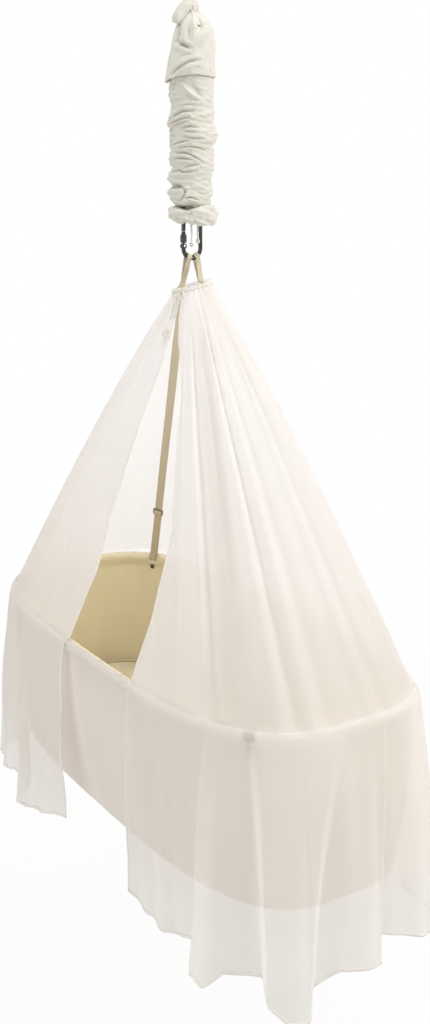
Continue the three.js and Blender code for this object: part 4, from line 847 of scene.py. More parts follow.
def build_mattress():
    pad = closed_loft("mattress_pad", mattress_rings(SHRINK), mattress_cover)
    moved = puff(pad)
    moved[:, 2] = np.clip(moved[:, 2], mattress_low, mattress_high + CROWN)
    pad.data.vertices.foreach_set("co", moved.ravel())
    pad.data.polygons.foreach_set("use_smooth", [True] * len(pad.data.polygons))
    pad.data.update()
    finer = pad.modifiers.new("finer", "SUBSURF")
    finer.levels = finer.render_levels = 1
    modifiers_applied(pad)
    set_cloth(pad.data, mesh_points(pad.data))
    part_of(pad, "mattress", "mattress", "mattress")
    for name, up, inset in (("top", 0.80, 0.002), ("bottom", 0.09, 0.001)):
        path = mattress_ring(evenly(300), -inset, mix(mattress_low, mattress_high, up))
        piping = tube_piece("mattress_piping_" + name, path, PIPING, mattress_cover, sides=8, closed=True)
        part_of(piping, "mattress", "mattress")


build_mattress()


# Straps: webbing through the same stations as the source
STRAP_WIDTH = 0.015
STRAP_LOOP_WIDTH = 0.009
STRAP_THICK = 0.0016
SEAT_GAP = 0.0003
SLIDER_DISTANCE = 0.146
SLIDER_BAR = 0.002
SLIDER_PLATE = 0.002
STATION_STEP = 0.008
SEWN_REACH = 0.018
SEWN_SPREAD = 0.012
LOOP_SPREAD = 0.0165
LOOP_DROP = 0.042
BOW_RADIUS = 0.0165
RIVET_WIDTH = 0.008
RIVET_HALF = (0.0068, 0.0105)
CARABINER_ROD = 0.0035
ply_step = STRAP_THICK + SEAT_GAP
wrap_reach = SLIDER_BAR / 2 + SEAT_GAP + STRAP_THICK / 2
cross_reach = wrap_reach + ply_step
back_reach = SLIDER_PLATE / 2 + SEAT_GAP + STRAP_THICK / 2
front_reach = back_reach + ply_step
plate_lift = back_reach + ply_step / 2
bottom_bow_z = low("carabiner_body").z + CARABINER_ROD + BOW_RADIUS
loop_angle = math.asin(LOOP_SPREAD / 2 / BOW_RADIUS)
loop_rod_z = bottom_bow_z - math.cos(loop_angle) * BOW_RADIUS
sewn_end_z = loop_rod_z - LOOP_DROP
# half of the webbing's section: shares of its half width and half thickness
WEBBING_EDGE = (
    (1, 0.35), (0.97, 0.85), (0.9, 1), (0.45, 1.06), (0, 1.08), (-0.45, 1.06), (-0.9, 1), (-0.97, 0.85),
    (-1, 0.35),
)
# a rivet's head: radius, and distance past the half length of its shank
RIVET_HEAD = (
    (0.0003, 0.0016), (0.0018, 0.0014), (0.0033, 0.0008), (0.004, 0), (0.0039, -0.0004),
    (0.0016, -0.0006),
)


def unit(v):
    v = np.asarray(v, float)
    return v / np.linalg.norm(v)


def facet(column):
    """A point on the wall's flat facets at the hoop, and the facet's direction."""
    below = math.floor(column)
    a, b = wall(np.array([below, below + 1]) / GRID, np.zeros(2), 0.0)
    return mix(a, b, column - below), unit(b - a)


def towards_side(v, side):
    """The direction v or its opposite, whichever leans to the side."""
    return v if v.dot(side) >= 0 else -v


def outward_from(centre, along):
    return towards_side(unit(np.cross(along, (0, 0, 1))), np.array([centre[0], centre[1], 0]))


def webbing_piece(name, stations, closed=False):
    """Webbing with slightly rounded edges through stations of (point, across, width)."""
    dense = []
    count = len(stations)
    for i in range(count if closed else count - 1):
        (p0, a0, w0), (p1, a1, w1) = stations[i], stations[(i + 1) % count]
        steps = max(1, int(np.linalg.norm(np.subtract(p1, p0)) / STATION_STEP))
        for t in np.arange(steps) / steps:
            dense.append((mix(np.asarray(p0), p1, t), unit(mix(np.asarray(a0), a1, t)), mix(w0, w1, t)))
    if not closed:
        dense.append(tuple(stations[-1]))
    count = len(dense)
    points = np.array([d[0] for d in dense])
    profile = WEBBING_EDGE + tuple((-a, -b) for a, b in WEBBING_EDGE)
    rings, cloth = [], []
    length = 0.0
    for i, (point, across, width) in enumerate(dense):
        before = points[i] - points[i - 1] if closed or i else None
        after = points[(i + 1) % count] - points[i] if closed or i < count - 1 else None
        first = unit(np.cross(after if before is None else before, across))
        second = unit(np.cross(before if after is None else after, across))
        normal = second if np.linalg.norm(first + second) < 1e-6 else unit(first + second)
        reach = STRAP_THICK / 2 / max(normal.dot(first), 0.5)
        if i:
            length += np.linalg.norm(before)
        rings.append([point + across * a * width / 2 + normal * b * reach * 0.92 for a, b in profile])
        cloth.append([(a * width / 2, length, 0) for a, b in profile])
    return mesh_piece(name, rings, tube_faces(count, len(profile), closed), webbing, cloth)


def strap_leg(column, sewn_end):
    """One leg: down through the slider, round the hoop's rod and back up to the slider's bar."""
    centre, along = facet(column)
    along = towards_side(along, np.array([0, 1, 0]))
    outward = outward_from(centre, along)
    up = unit(sewn_end - centre)
    across = unit(along - up * along.dot(up))
    inward = towards_side(unit(np.cross(across, up)), -outward)
    round_up = unit(up - along * up.dot(along))
    round_in = towards_side(unit(np.cross(round_up, along)), inward)
    length = np.linalg.norm(sewn_end - centre)
    radius = HOOP_ROD + SEAT_GAP + STRAP_THICK / 2
    back, front = ply_step / 2, plate_lift + front_reach
    wrap_back, wrap_front = plate_lift - back_reach, plate_lift + back_reach
    weave_up, weave_down = SLIDER_DISTANCE + cross_reach, SLIDER_DISTANCE - cross_reach
    wrap_up, wrap_down = SLIDER_DISTANCE + wrap_reach, SLIDER_DISTANCE - wrap_reach
    stations = []

    def put(inward_by, up_by, direction=across, width=STRAP_WIDTH):
        stations.append((centre + inward * inward_by + up * up_by, direction, width))

    for share in np.concatenate([np.linspace(0, 0.2, 10), np.linspace(0.24, 0.96, 18)]):
        turned = mix(np.array([0.0, 1.0, 0.0]), across, min(share * 2, 1))
        turned = unit(turned - up * turned.dot(up))
        sway = 0.0012 * math.sin(7 * share + column) * math.sin(math.pi * share)
        sideways = min(share * 2, 1) * back + sway
        width = mix(STRAP_LOOP_WIDTH, STRAP_WIDTH, min(share * 4, 1))
        put(sideways, mix(length, weave_up, share), turned, width)
    for place in (
        (back, weave_up), (front, weave_up), (front, weave_down), (back, weave_down), (back, radius * 5),
    ):
        put(*place)
    for angle in np.linspace(0.15, -math.pi - 0.15, 15):
        point = centre + round_in * math.cos(angle) * radius + round_up * math.sin(angle) * radius
        stations.append((point, along, STRAP_WIDTH))
    for place in (
        (-back, radius * 5), (-back, wrap_down), (wrap_back, wrap_down), (wrap_back, wrap_up),
        (wrap_front, wrap_up), (wrap_front, SLIDER_DISTANCE - SLIDER_BAR / 2),
    ):
        put(*place)
    return webbing_piece("leg", stations)


def build_straps():
    lengthways = np.array([0.0, 1.0, 0.0])
    around_rod = CARABINER_ROD + 0.0012 + STRAP_THICK / 2
    for name, side in (("head", -1), ("foot", 1)):
        bow_across = np.array([0, math.cos(loop_angle), side * math.sin(loop_angle)])
        upwards = np.array([0, -side * math.sin(loop_angle), math.cos(loop_angle)])
        rod_centre = np.array([0, side * LOOP_SPREAD / 2, loop_rod_z])
        stations = []
        for a in np.linspace(0, math.pi, 15):
            reach = math.cos(a) * np.array([1, 0, 0]) + math.sin(a) * upwards
            stations.append((rod_centre + around_rod * reach, bow_across, STRAP_LOOP_WIDTH))
        sewn_end = np.array([side * SEWN_REACH, side * SEWN_SPREAD / 2, sewn_end_z])
        slope = unit([side * SEWN_REACH, 0, -LOOP_DROP])
        ply = towards_side(np.cross(lengthways, slope), np.array([1, 0, 0]))
        for way in (-1, 1):
            stations.append((sewn_end + unit(ply) * way * ply_step / 2, lengthways, STRAP_LOOP_WIDTH))
        loop = webbing_piece("strap_loop_" + name, stations, closed=True)
        legs = [strap_leg(STRAP_SHARES[f"{name}_{way}"] * GRID, sewn_end) for way in ("near", "far")]
        part_of(join("strap_webbing_" + name, loop, *legs), "cradle", "webbing", "strap_" + name)


def build_rivets():
    for corner, share in STRAP_SHARES.items():
        node = "strap_rivet_" + corner
        centre, size = np.array(middle(node)), np.array(high(node) - low(node))
        _, along = facet(share * GRID)
        outward = outward_from(centre, along)
        half = abs(size.dot(np.abs(outward)) - RIVET_WIDTH * abs(along[:2]).sum()) / 2
        half = max(min(half, RIVET_HALF[1]), RIVET_HALF[0])
        profile = [(r, half + a) for r, a in RIVET_HEAD]
        profile += [(r, -a) for r, a in profile[::-1]]
        rivet = turned_piece("rivet_" + corner, profile, centre, outward, dark_metal, 24)
        part_of(rivet, "cradle", "dark_steel", node)


build_straps()
build_rivets()


# Cover of the spring. Its forms are in millimetres, as the photograph's side shows them.
FRONT = math.radians(-32.7)
TOWARDS = np.array([math.cos(FRONT), math.sin(FRONT), 0.0])
RIGHT = np.array([-math.sin(FRONT), math.cos(FRONT), 0.0])
ROUND_MM = 37.0
FULL_TURN = 6.2832
COVER_THICK = 0.0012
CUFF_THICK = 0.0013
LINE_DEPTH = 1.65


def oval(theta, centre, across, deep, out):
    """How far to the right and towards the camera the cloth is, from its centre, half sizes and relief."""
    return centre + (across + out) * np.sin(theta), (deep + out) * np.cos(theta)


def cloth_ring(a, b, z):
    ring = a[:, None] * RIGHT + b[:, None] * TOWARDS
    ring[:, 2] = z
    return ring


def cover_piece(name, rings, thickness=COVER_THICK):
    return grid_piece(name, np.array(rings) / 1000, cover_cotton, closed=True, thickness=thickness)


def crease_relief(u, z, lines):
    """Valleys with slightly raised shoulders, along lines of (across, height) with a depth and width."""
    total = 0 * u + 0 * z
    half_round = math.pi * ROUND_MM
    for depth, width, line in lines:
        line = spline(np.array(line, float), 3)
        start = line[0]
        around_seam = np.mod(u - start[0] + half_round, 2 * half_round) - half_round
        steps = np.diff(line, axis=0)
        lengths = np.linalg.norm(steps, axis=1)
        nearest = np.full(total.shape, 1e9)
        along = np.zeros(total.shape)
        before = 0.0
        for begin, step, length in zip(line[:-1] - (start[0], 0), steps, lengths):
            du, dz = around_seam - begin[0], z - begin[1]
            t = np.clip((du * step[0] + dz * step[1]) / length**2, 0, 1)
            away = np.hypot(du - t * step[0], dz - t * step[1])
            closer = away < nearest
            nearest = np.where(closer, away, nearest)
            along = np.where(closer, (before + t * length) / lengths.sum(), along)
            before += length
        fade = np.sqrt(np.sin(np.pi * np.clip(along, 0.03, 0.97)))
        total = total - depth * fade * (bump(nearest, 0, width) - 0.38 * bump(nearest, 0, 2.7 * width))
    return total


def round_cloth(across, half):
    """Turns how far across a spot is seen into how far round the cloth it lies."""
    return math.asin(max(-0.985, min(0.985, across / (half + 1.5)))) * ROUND_MM


def hidden_lines(seed, count, top, bottom, first, last, depth, width):
    """Creases for the sides that the photograph doesn't show, tilted and bent at random."""
    random = np.random.default_rng(seed)
    lines = []
    for i in range(count):
        z = mix(top, bottom, (i + random.uniform(0.1, 0.9)) / count)
        middle_u = math.radians(random.uniform(first, last)) * ROUND_MM
        half = random.uniform(9, 26)
        tilt = random.uniform(-0.28, 0.28)
        bow = random.uniform(-2.5, 2.5)
        steps = (-1, -0.5, 0, 0.5, 1)
        line = [(middle_u + half * t, z + half * t * tilt + bow * (1 - t * t)) for t in steps]
        lines.append((random.uniform(*depth), random.uniform(*width), line))
    return lines


def soften(rows, steps):
    """Smooths rows of (height, left, right, depth) and gives centre and half size for the sides."""
    rows = [(z, (left + right) / 2, (right - left) / 2, deep) for z, left, right, deep in rows]
    return spline(np.array(rows, float), steps)


# creases of the sleeve: depth, width, and the line they run along as the photograph shows it
SLEEVE_LINES = [
    (5.5, 2.6, [(-38, -186), (-30, -179), (-23, -174), (-14, -171), (3, -170.5)]),
    (4.2, 2.0, [(-35, -192), (-24, -187), (-14, -183), (-2, -181.5)]),
    (3.2, 1.7, [(-35, -198), (-19, -191), (-4, -188)]),
    (3.8, 2.0, [(-18, -200), (-6, -195.5), (10, -198)]),
    (2.2, 1.6, [(-11, -202.5), (7, -205.5)]),
    (3.4, 1.8, [(-13, -211), (-1.5, -214), (21, -216)]),
    (4.6, 2.0, [(-35, -226), (-23, -221.5), (0, -217)]),
    (3.4, 1.8, [(-22, -230), (-6, -227.8), (14.5, -230), (27, -236)]),
    (4.4, 1.9, [(-28, -237), (-9, -238.7), (6, -244.5), (17, -252)]),
    (3.6, 1.8, [(-36, -250), (-23, -246.5), (-9, -247), (3, -250)]),
    (3.8, 2.0, [(-14, -263), (-4.5, -259), (12, -256.5)]),
    (5.0, 2.3, [(-36, -271), (-23, -266), (-13, -269), (9, -267.5)]),
    (12.0, 4.0, [(-37.5, -292), (-31, -292), (-21, -292.5)]),
    (11.0, 3.4, [(-30, -325), (-14, -326), (5, -322)]),
    (5.0, 2.4, [(9, -323), (14, -324)]),
    (4.0, 2.2, [(-22, -293), (-13, -296), (-9, -303), (-14, -312), (-24, -317)]),
    (4.6, 1.8, [(-10, -312.5), (0, -310), (15, -314.5)]),
    (2.6, 3.2, [(-27, -119), (-29, -128), (-33, -139)]),
    (2.6, 5.0, [(-3, -129), (8, -137), (16, -147)]),
    (1.8, 1.6, [(-20, -164), (-9, -160), (4, -161)]),
    (1.6, 2.0, [(14, -180), (30, -184)]),
    (1.8, 2.0, [(16, -206), (33, -203)]),
    (1.5, 1.8, [(12, -222), (31, -225)]),
    (1.8, 1.8, [(20, -262), (34, -259)]),
    (2.2, 2.4, [(2, -281), (17, -284), (33, -279)]),
    (2.4, 2.2, [(8, -301), (24, -305), (34, -300)]),
    (-2.2, 3.0, [(-21, -124), (-9, -135), (3, -145), (21, -156)]),
]
# rows of the cover: height, left, right and depth
SLEEVE_ROWS = [
    (-80, -33.5, 34, 34), (-110, -34.5, 35, 34.5), (-125, -35.5, 36, 35), (-142, -37, 35.5, 35.5),
    (-155, -34, 35, 35), (-165, -33, 35, 35.3), (-175, -35, 36, 36), (-186, -38.5, 36, 36.5),
    (-196, -37.5, 38.5, 37), (-207, -35, 41, 37.5), (-217, -35, 40, 37), (-225, -37, 36, 36.5),
    (-235, -34.5, 35, 36), (-249, -37, 37, 37), (-262, -33, 36.5, 36), (-272, -37, 33.5, 36),
    (-283, -37.5, 31.5, 35.5), (-287.5, -34, 31.5, 35), (-292, -30.5, 32, 34.5),
    (-296, -34.5, 33.5, 35), (-301, -38, 34.5, 35), (-309, -37, 32, 35), (-316, -34, 31, 33.5),
    (-321, -29, 30, 30), (-325, -24, 28, 26),
]
CUFF_ROWS = [
    (-323.4, -11.5, 11.5, 11.5), (-324, -20, 20, 20), (-325.2, -29, 31, 30), (-328, -35.5, 38, 36.5),
    (-333, -38.5, 41, 38.5), (-339, -38, 41.5, 39), (-344, -35.5, 41, 38), (-348.5, -31.5, 39, 36),
    (-352, -28, 36.5, 33.5), (-353.6, -25.5, 34, 31),
]


def build_sleeve():
    theta = angles_round(236)
    u = (np.mod(theta + np.pi, 2 * np.pi) - np.pi)[None, :] * ROUND_MM
    heights = np.linspace(-80, -325, 268)
    z = heights[:, None] + 0 * u
    lines = []
    for depth, width, line in SLEEVE_LINES:
        spots = [(round_cloth(a, ROUND_MM), height) for a, height in line]
        lines.append((depth * LINE_DEPTH, width, spots))
    lines += hidden_lines(71, 40, -150, -318, 78, 282, (3.0, 5.2), (1.7, 2.6))
    lines += hidden_lines(72, 30, -112, -318, 78, 282, (1.6, 3.2), (1.4, 2.2))
    lines += hidden_lines(73, 12, -86, -150, 70, 290, (0.8, 1.8), (2.0, 3.6))
    lines += hidden_lines(74, 34, -150, -318, -70, 84, (0.4, 1.2), (1.2, 1.9))
    relief = crease_relief(u, z, lines) + 0.5 * waves(75, theta[None, :] / 6.28, z / 60, 2, 9, 8, 0.9)
    relief = relief + 0.9 * waves(76, theta[None, :] / 6.28, z / 45, 1, 4, 6, 1.6) * smooth(-z, 110, 160)
    rows = soften(SLEEVE_ROWS, 4)[::-1]
    rings = []
    for height, out in zip(heights, relief):
        sizes = [np.interp(height, rows[:, 0], rows[:, k]) for k in (1, 2, 3)]
        rings.append(cloth_ring(*oval(theta, *sizes, out), height))
    return cover_piece("cover_sleeve_cloth", rings)


def build_cuff():
    turn = evenly(300)
    theta = turn * 2 * np.pi
    rows = soften(CUFF_ROWS, 5)
    rings = []
    for t, (z, centre, across, deep) in zip(np.linspace(0, 1, len(rows)), rows):
        wander = 2.2 * np.sin(2 * np.pi * 3 * turn + 1.6 * t) + 1.2 * np.sin(2 * np.pi * 7 * turn + 2)
        strength = 0.55 + 0.45 * np.sin(2 * np.pi * 5 * turn + 1)
        pleats = (fold_wave(2 * np.pi * 17 * turn + wander, 0.3) - 0.5) * strength
        lumps = waves(81, turn, t * 0.5, 2, 9, 9, 1.4)
        out = (2.2 * pleats * (0.25 + 0.9 * t) + 2.1 * lumps) * min(t * 4, 1)
        a, b = oval(theta, centre, across, deep, out)
        # its mouth is open on the left, where the cords come out
        mouth = mix(-7.0 * bump(a, -8, 13) * (b > 0), 2.2, smooth(a, 8, 26) * (b > -10))
        edge = z - 0.075 * a * smooth(t, 0.45, 1) + mouth * (1 - smooth(t, 0.25, 0.6))
        edge = edge + 1.6 * waves(82, turn, t * 0.3, 3, 12, 7, 1.0) * smooth(t, 0.4, 1)
        rings.append(cloth_ring(a, b, edge))
    return cover_piece("cover_cuff_frill", rings, CUFF_THICK)


# rows of the gathered top and the hood: height, centre to the right, half size across, half size deep
TOP_ROWS = [
    (9.5, -2, 8.6, 8.6), (6, -1.8, 11.4, 11.4), (0, -1.4, 12.2, 12.2), (-6, -0.8, 12.0, 12.4),
    (-11, 0.4, 12.8, 13.2), (-15, 2.0, 14.8, 15.2), (-19, 3.6, 18.2, 18.6), (-25, 4.6, 23.6, 23.8),
    (-31, 4.8, 27.6, 27.8), (-38, 4.6, 30.6, 31), (-46, 4.4, 32.6, 33), (-56, 3.6, 34.2, 34.4),
    (-66, 2.8, 35.4, 35.4), (-76, 1.6, 36.6, 36.4), (-86, 0.6, 37.9, 37.8), (-96, -0.6, 39.2, 39),
    (-106, -1.2, 40.2, 40), (-116, -1.4, 40.8, 40.3),
]
HOOD_LINES = [
    (10.0, 4.0, [(-17, -27), (-19.5, -42), (-22, -60)]),
    (13.0, 3.4, [(-24, -60), (-13, -65.5), (-2.5, -70.5)]),
    (-4.6, 8.0, [(-10, -34), (-11, -46), (-8, -58)]),
    (2.6, 2.4, [(-3, -38), (-4, -58)]),
    (11.0, 6.0, [(9, -19), (11.5, -28), (15.5, -38.5)]),
    (-4.0, 6.0, [(3, -22), (5, -38), (2, -62)]),
    (-3.0, 3.4, [(21, -45), (12, -59), (3, -68)]),
    (9.0, 3.0, [(-31, -110), (-23, -103.5), (-12.5, -97.5), (0, -92.5), (14, -90)]),
    (1.8, 2.2, [(3, -104.5), (15, -103.5)]),
    (2.4, 5.0, [(24, -58), (4, -78), (-16, -92)]),
    (2.0, 3.6, [(27, -98), (32, -78), (35, -60)]),
    (3.4, 2.8, [(-31, -72), (-35.5, -92), (-37.5, -112)]),
    (-1.8, 4.0, [(-20, -112), (0, -103), (18, -100)]),
    (1.8, 2.2, [(-20, -86), (-8, -81), (2, -82)]),
    (2.0, 2.2, [(28, -104), (34, -112)]),
]
# height of the hood's top edge, and lift of its hem, by degrees from the camera's side to the right
HOOD_TOP = (
    (-180, -14), (-110, -13), (-60, -15), (-20, -12), (10, -9), (40, -11), (70, -14), (120, -13),
    (180, -14),
)
HOOD_HEM = (
    (-180, -2), (-135, -4), (-90, -8.5), (-50, -3.0), (-20, 1.0), (10, 2.6), (45, 1.0), (90, -0.6),
    (135, 1.5), (180, -2),
)
HOOD_BOTTOM = -114.4


def top_profile(z):
    """Centre, half size across and half size deep of the gathered top and hood at a height."""
    return [table([(row[0], row[k]) for row in TOP_ROWS[::-1]], z) for k in (1, 2, 3)]


def ring_at(theta, z, out):
    return cloth_ring(*oval(theta, *top_profile(z), out), z)


def gathers(theta, z):
    """Pleats drawn in by the tie, strongest at its height."""
    pleats = fold_wave(17 * theta + 1.2 * np.sin(3 * theta + 1), 0.3) - 0.45
    soft = fold_wave(8 * theta + 0.8 * np.sin(2 * theta), 0.2) - 0.45
    return 1.5 * pleats * bump(z, -6, 12) + 1.8 * soft * bump(z, -25, 12)


def build_hood():
    theta = angles_round(288)
    turn = theta / FULL_TURN
    degrees = np.degrees(np.mod(theta + np.pi, 2 * np.pi) - np.pi)
    u = np.radians(degrees) * ROUND_MM
    top = table(HOOD_TOP, degrees) + 0.9 * waves(94, turn, 0 * theta, 5, 16, 6)
    hem = table(HOOD_HEM, degrees) + 0.5 * waves(93, turn, 0 * theta, 5, 14, 6)
    lines = []
    for depth, width, line in HOOD_LINES:
        spots = []
        for a, z in line:
            centre, across, _ = top_profile(z)
            spots.append((round_cloth(a - centre, across), z))
        lines.append((depth, width, spots))
    random = np.random.default_rng(91)
    for _ in range(15):
        at = math.radians(random.uniform(85, 275)) * ROUND_MM
        start = random.uniform(-88, -40)
        length = random.uniform(14, 40)
        lean = random.uniform(-9, 9)
        spots = [(at, start), (at + lean * 0.6, start - length / 2), (at + lean, start - length)]
        lines.append((random.uniform(1.8, 4.4), random.uniform(2, 3.4), spots))
    # down the outside, then round the hem and a little way up the inside: share down, lift and inset
    rows = [(t, 0.0, 0.0) for t in np.linspace(0, 1, 128)]
    rows += [(1, -0.6, -0.9), (1, -0.2, -2.0), (1, 1.9, -2.6), (1, 6.4, -2.9), (1, 11.4, -3.0)]
    rings = []
    for t, lift, inside in rows:
        z = mix(top, HOOD_BOTTOM, t) + lift
        out = crease_relief(u, z, lines) * smooth(-z, 12, 26) + gathers(theta, z)
        out = out + 1.1 * np.exp(-t / 0.02) + inside
        out = out + 0.7 * waves(92, turn, z / 150, 2, 8, 8, 1.0) * smooth(-z, 34, 52)
        ring = ring_at(theta, z, out)
        ring[:, 2] += hem * smooth(-z, 82, 113)
        rings.append(ring)
    return cover_piece("cover_hood_cloth", rings)


def build_neck():
    """The gathered neck round the ring, its lower part inside the hood."""
    theta = angles_round(252)
    turn = theta / FULL_TURN
    rings = []
    for height in np.linspace(9.5, -34, 70):
        z = height + 0 * theta
        out = gathers(theta, z) + 0.4 * waves(96, turn, z / 90, 3, 12, 7, 1.0)
        out = out - 1.9 * smooth(-height, 5, 14)
        ring = ring_at(theta, z, out)
        ring[:, 2] += 0.8 * waves(95, turn, z / 90, 4, 13, 5, 0.5) * smooth(height, 0, 9)
        rings.append(ring)
    return cover_piece("cover_top_neck", rings)


TAIL_SPINE = ((3, 0.5), (-3, -1), (-9.5, -5), (-15, -11.5), (-18.5, -18), (-20.5, -24), (-21.5, -29.5))
TAIL_WIDTH = (5.5, 9.0, 10.6, 11.2, 11.4, 10.6, 8.2)


def build_tail():
    """The gathered end that flops over to the left."""
    spine = spline(TAIL_SPINE, 7)
    width = spline([(w, 0) for w in TAIL_WIDTH], 7)[:, 0]
    step = np.gradient(spine, axis=0)
    step /= np.linalg.norm(step, axis=1)[:, None]
    turn = evenly(96)
    rings = []
    for t, (a, z), (da, dz), w in zip(np.linspace(0, 1, len(spine)), spine, step, width):
        bend = 1.3 * np.sin(2 * np.pi * 2 * turn + 3 * t)
        folds = 1.3 * (fold_wave(2 * np.pi * 5 * turn + bend, 0.3) - 0.5)
        r = w + folds * (0.5 + 0.9 * t) + 0.7 * waves(97, turn, t * 0.4, 2, 5, 6, 0.8)
        side = np.cos(2 * np.pi * turn) * r
        deep = np.sin(2 * np.pi * turn) * (r * 0.72)
        rings.append(cloth_ring(a - dz * side, 8.5 + 4.5 * t + deep, z + da * side))
    last = rings[-1]
    inner = last.mean(axis=0)
    for shrink, lift in ((0.8, 0.8), (0.55, 3.0), (0.3, 6.0)):
        rings.append(inner + (last - inner) * shrink + (0, 0, lift))
    points = np.array(rings) / 1000
    tail = closed_loft("cover_top_tail", points, cover_cotton)
    set_cloth(tail.data, np.concatenate([cloth_coordinates(points).reshape(-1, 3), np.zeros((2, 3))]))
    return tail


def build_cover():
    neck, tail, hood = build_neck(), build_tail(), build_hood()
    sleeve, cuff = build_sleeve(), build_cuff()
    for piece in (neck, tail):
        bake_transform(piece)
    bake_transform(hood)
    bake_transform(sleeve)
    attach(cuff, "spring_end")
    for piece, node in ((neck, "top"), (hood, "hood"), (sleeve, "sleeve"), (cuff, "cuff")):
        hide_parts("cover_" + node)


build_cover()


# Spring, in one smooth coil with narrow ends
WIRE = 0.0021
COIL_RADIUS = 0.023
END_RADIUS = 0.0062
TURNS = 28
POINTS_A_TURN = 26


def build_spring():
    top, bottom = high("spring").z, low("spring").z
    t = np.linspace(0, 1, TURNS * POINTS_A_TURN + 1)
    turn = t * TURNS
    from_end = np.minimum(turn, TURNS - turn)
    radius = mix(END_RADIUS, COIL_RADIUS, smooth(from_end, 0.9, 3.4))
    angle = 2 * np.pi * turn
    path = np.stack([radius * np.cos(angle), radius * np.sin(angle), mix(top - WIRE, bottom + WIRE, t)], -1)
    coil = tube_piece("spring_coil", path, WIRE, spring_wire, sides=10, first=(0, 0, 1))
    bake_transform(coil)
    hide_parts("spring")


build_spring()


# Cords: cotton with a twist
STRANDS = 3
TWIST = 0.007
CORD_RADIUS = 0.0016
STRING_RADIUS = 0.0015
STRING_OUT = 0.0054
BOW_CORD = 0.8
DRAW_RING = 0.0045
DRAW_KNOT = 0.0030
BOW_KNOT = 0.0042
KNOT_Z = -0.32133
TENT_SLOPE = 0.36


def cord_shape(name, path, radius, sides=14, closed=False):
    """A twisted cord: a tube whose round section has a lobe for each strand."""
    path = np.asarray(path, float)
    along = distances(path)
    twist = TWIST
    if closed:
        whole = along[-1] + np.linalg.norm(path[0] - path[-1])
        twist = whole / max(1, round(whole / TWIST / STRANDS)) / STRANDS
    angle = angles_round(sides)
    lobe = 1 + 0.13 * np.cos(STRANDS * (angle[None, :] + 2 * np.pi * along[:, None] / (twist * STRANDS)))
    centres = path[:, None, :]
    spokes = tube_rings(path, 1.0, sides, closed) - centres
    rings = centres + spokes * (radius * 0.93 * lobe)[:, :, None]
    faces = tube_faces(len(path), sides, closed)
    return mesh_piece(name, rings, faces, cotton_cord, tube_cloth(angle * radius, along))


def even(path, spacing):
    """The same path with points a little apart."""
    length = distances(path)
    count = max(2, int(length[-1] / spacing) + 1)
    at = np.linspace(0, length[-1], count)
    return np.stack([np.interp(at, length, path[:, k]) for k in range(3)], -1)


def knot_piece(name, centre, size, seed):
    """A small overhand knot: a closed line of cord that passes over and under itself."""
    t = angles_round(60)
    a = (2 + np.cos(3 * t)) * np.cos(2 * t + seed)
    b = (2 + np.cos(3 * t)) * np.sin(2 * t + seed)
    c = np.sin(3 * t)
    path = np.asarray(centre) + np.stack([a * size * 0.36, c * size * 0.45, b * size * 0.36], -1)
    return cord_shape(name, path, size * 0.42, sides=10, closed=True)


def build_drawcord():
    angle = angles_round(40)
    ring = np.stack([DRAW_RING * np.cos(angle), DRAW_RING * np.sin(angle), np.full(40, KNOT_Z)], -1)
    loop = cord_shape("cover_drawcord_ring", ring, CORD_RADIUS, closed=True)
    part_of(loop, "lower_swivel", "cord", "cover_drawcord")
    for name, side, reach in (("left", -1, 0.0665), ("right", 1, 0.0610)):
        y = side * 0.006
        ends = [
            (DRAW_RING + CORD_RADIUS * 1.6, side * 0.0012, KNOT_Z - 0.0004),
            (0.0084, y * 0.55, KNOT_Z - 0.0034),
            (0.0087, y * 0.9, KNOT_Z - 0.0096),
            (0.0089 + 0.0006 * side, y, KNOT_Z - 0.020),
            (0.0084, y + 0.0005 * side, KNOT_Z - 0.034),
            (0.0090, y - 0.0002 * side, KNOT_Z - 0.050),
            (0.0087, y + 0.0004 * side, KNOT_Z - reach),
        ]
        path = even(spline(ends, 10), 0.00055)
        tail = cord_shape("cover_drawcord_" + name, path, CORD_RADIUS)
        end = np.array(ends[-1]) + (0, 0, -0.0005)
        knot = knot_piece("cover_drawcord_knot_" + name, end, DRAW_KNOT, side)
        for piece in (tail, knot):
            part_of(piece, "lower_swivel", "cord")


build_drawcord()


# Drawstring of the veil and its two bows
def bow_path(knot, side, points):
    """A path through (sideways, drop, out) from a knot, lying on the tent of the veil."""
    x, y, z = knot
    ends = [(x + side * a, y - (out + drop * TENT_SLOPE), z - drop) for a, drop, out in points]
    return even(spline(ends, 12), 0.0005)


def build_bow(name, knot, tail, loop):
    radius = STRING_RADIUS * BOW_CORD
    forward = STRING_RADIUS * 2
    sides = ((-1, "left", 0.985), (1, "right", 0.93))
    pieces = [knot_piece(name + "_knot", knot, BOW_KNOT, 0.6)]
    for side, way, _ in sides:
        path = bow_path(knot, side, (
            (0, 0, 0), (loop * 0.55, -loop * 0.12, forward), (loop, loop * 0.2, forward * 1.2),
            (loop * 0.65, loop * 0.6, forward * 1.2), (0, loop * 0.1, forward * 0.4),
        ))
        pieces.append(cord_shape(f"{name}_loop_{way}", path, radius))
    part_of(join(name, *pieces), "cradle", "cord", name)
    for side, way, share in sides:
        path = bow_path(knot, side, (
            (0.0012, 0.0022, 0.0012), (loop * 0.10, tail * 0.18, forward * 0.9),
            (loop * 0.17, tail * 0.45, forward), (loop * 0.20, tail * 0.72, forward * 0.85),
            (loop * 0.24, tail * share, forward * 0.7),
        ))
        piece = cord_shape(f"{name}_tail_{way}", path, radius)
        part_of(piece, "cradle", "cord")


def knot_place(node):
    return (low(node).x + high(node).x) / 2, high(node).y - STRING_RADIUS * 1.6


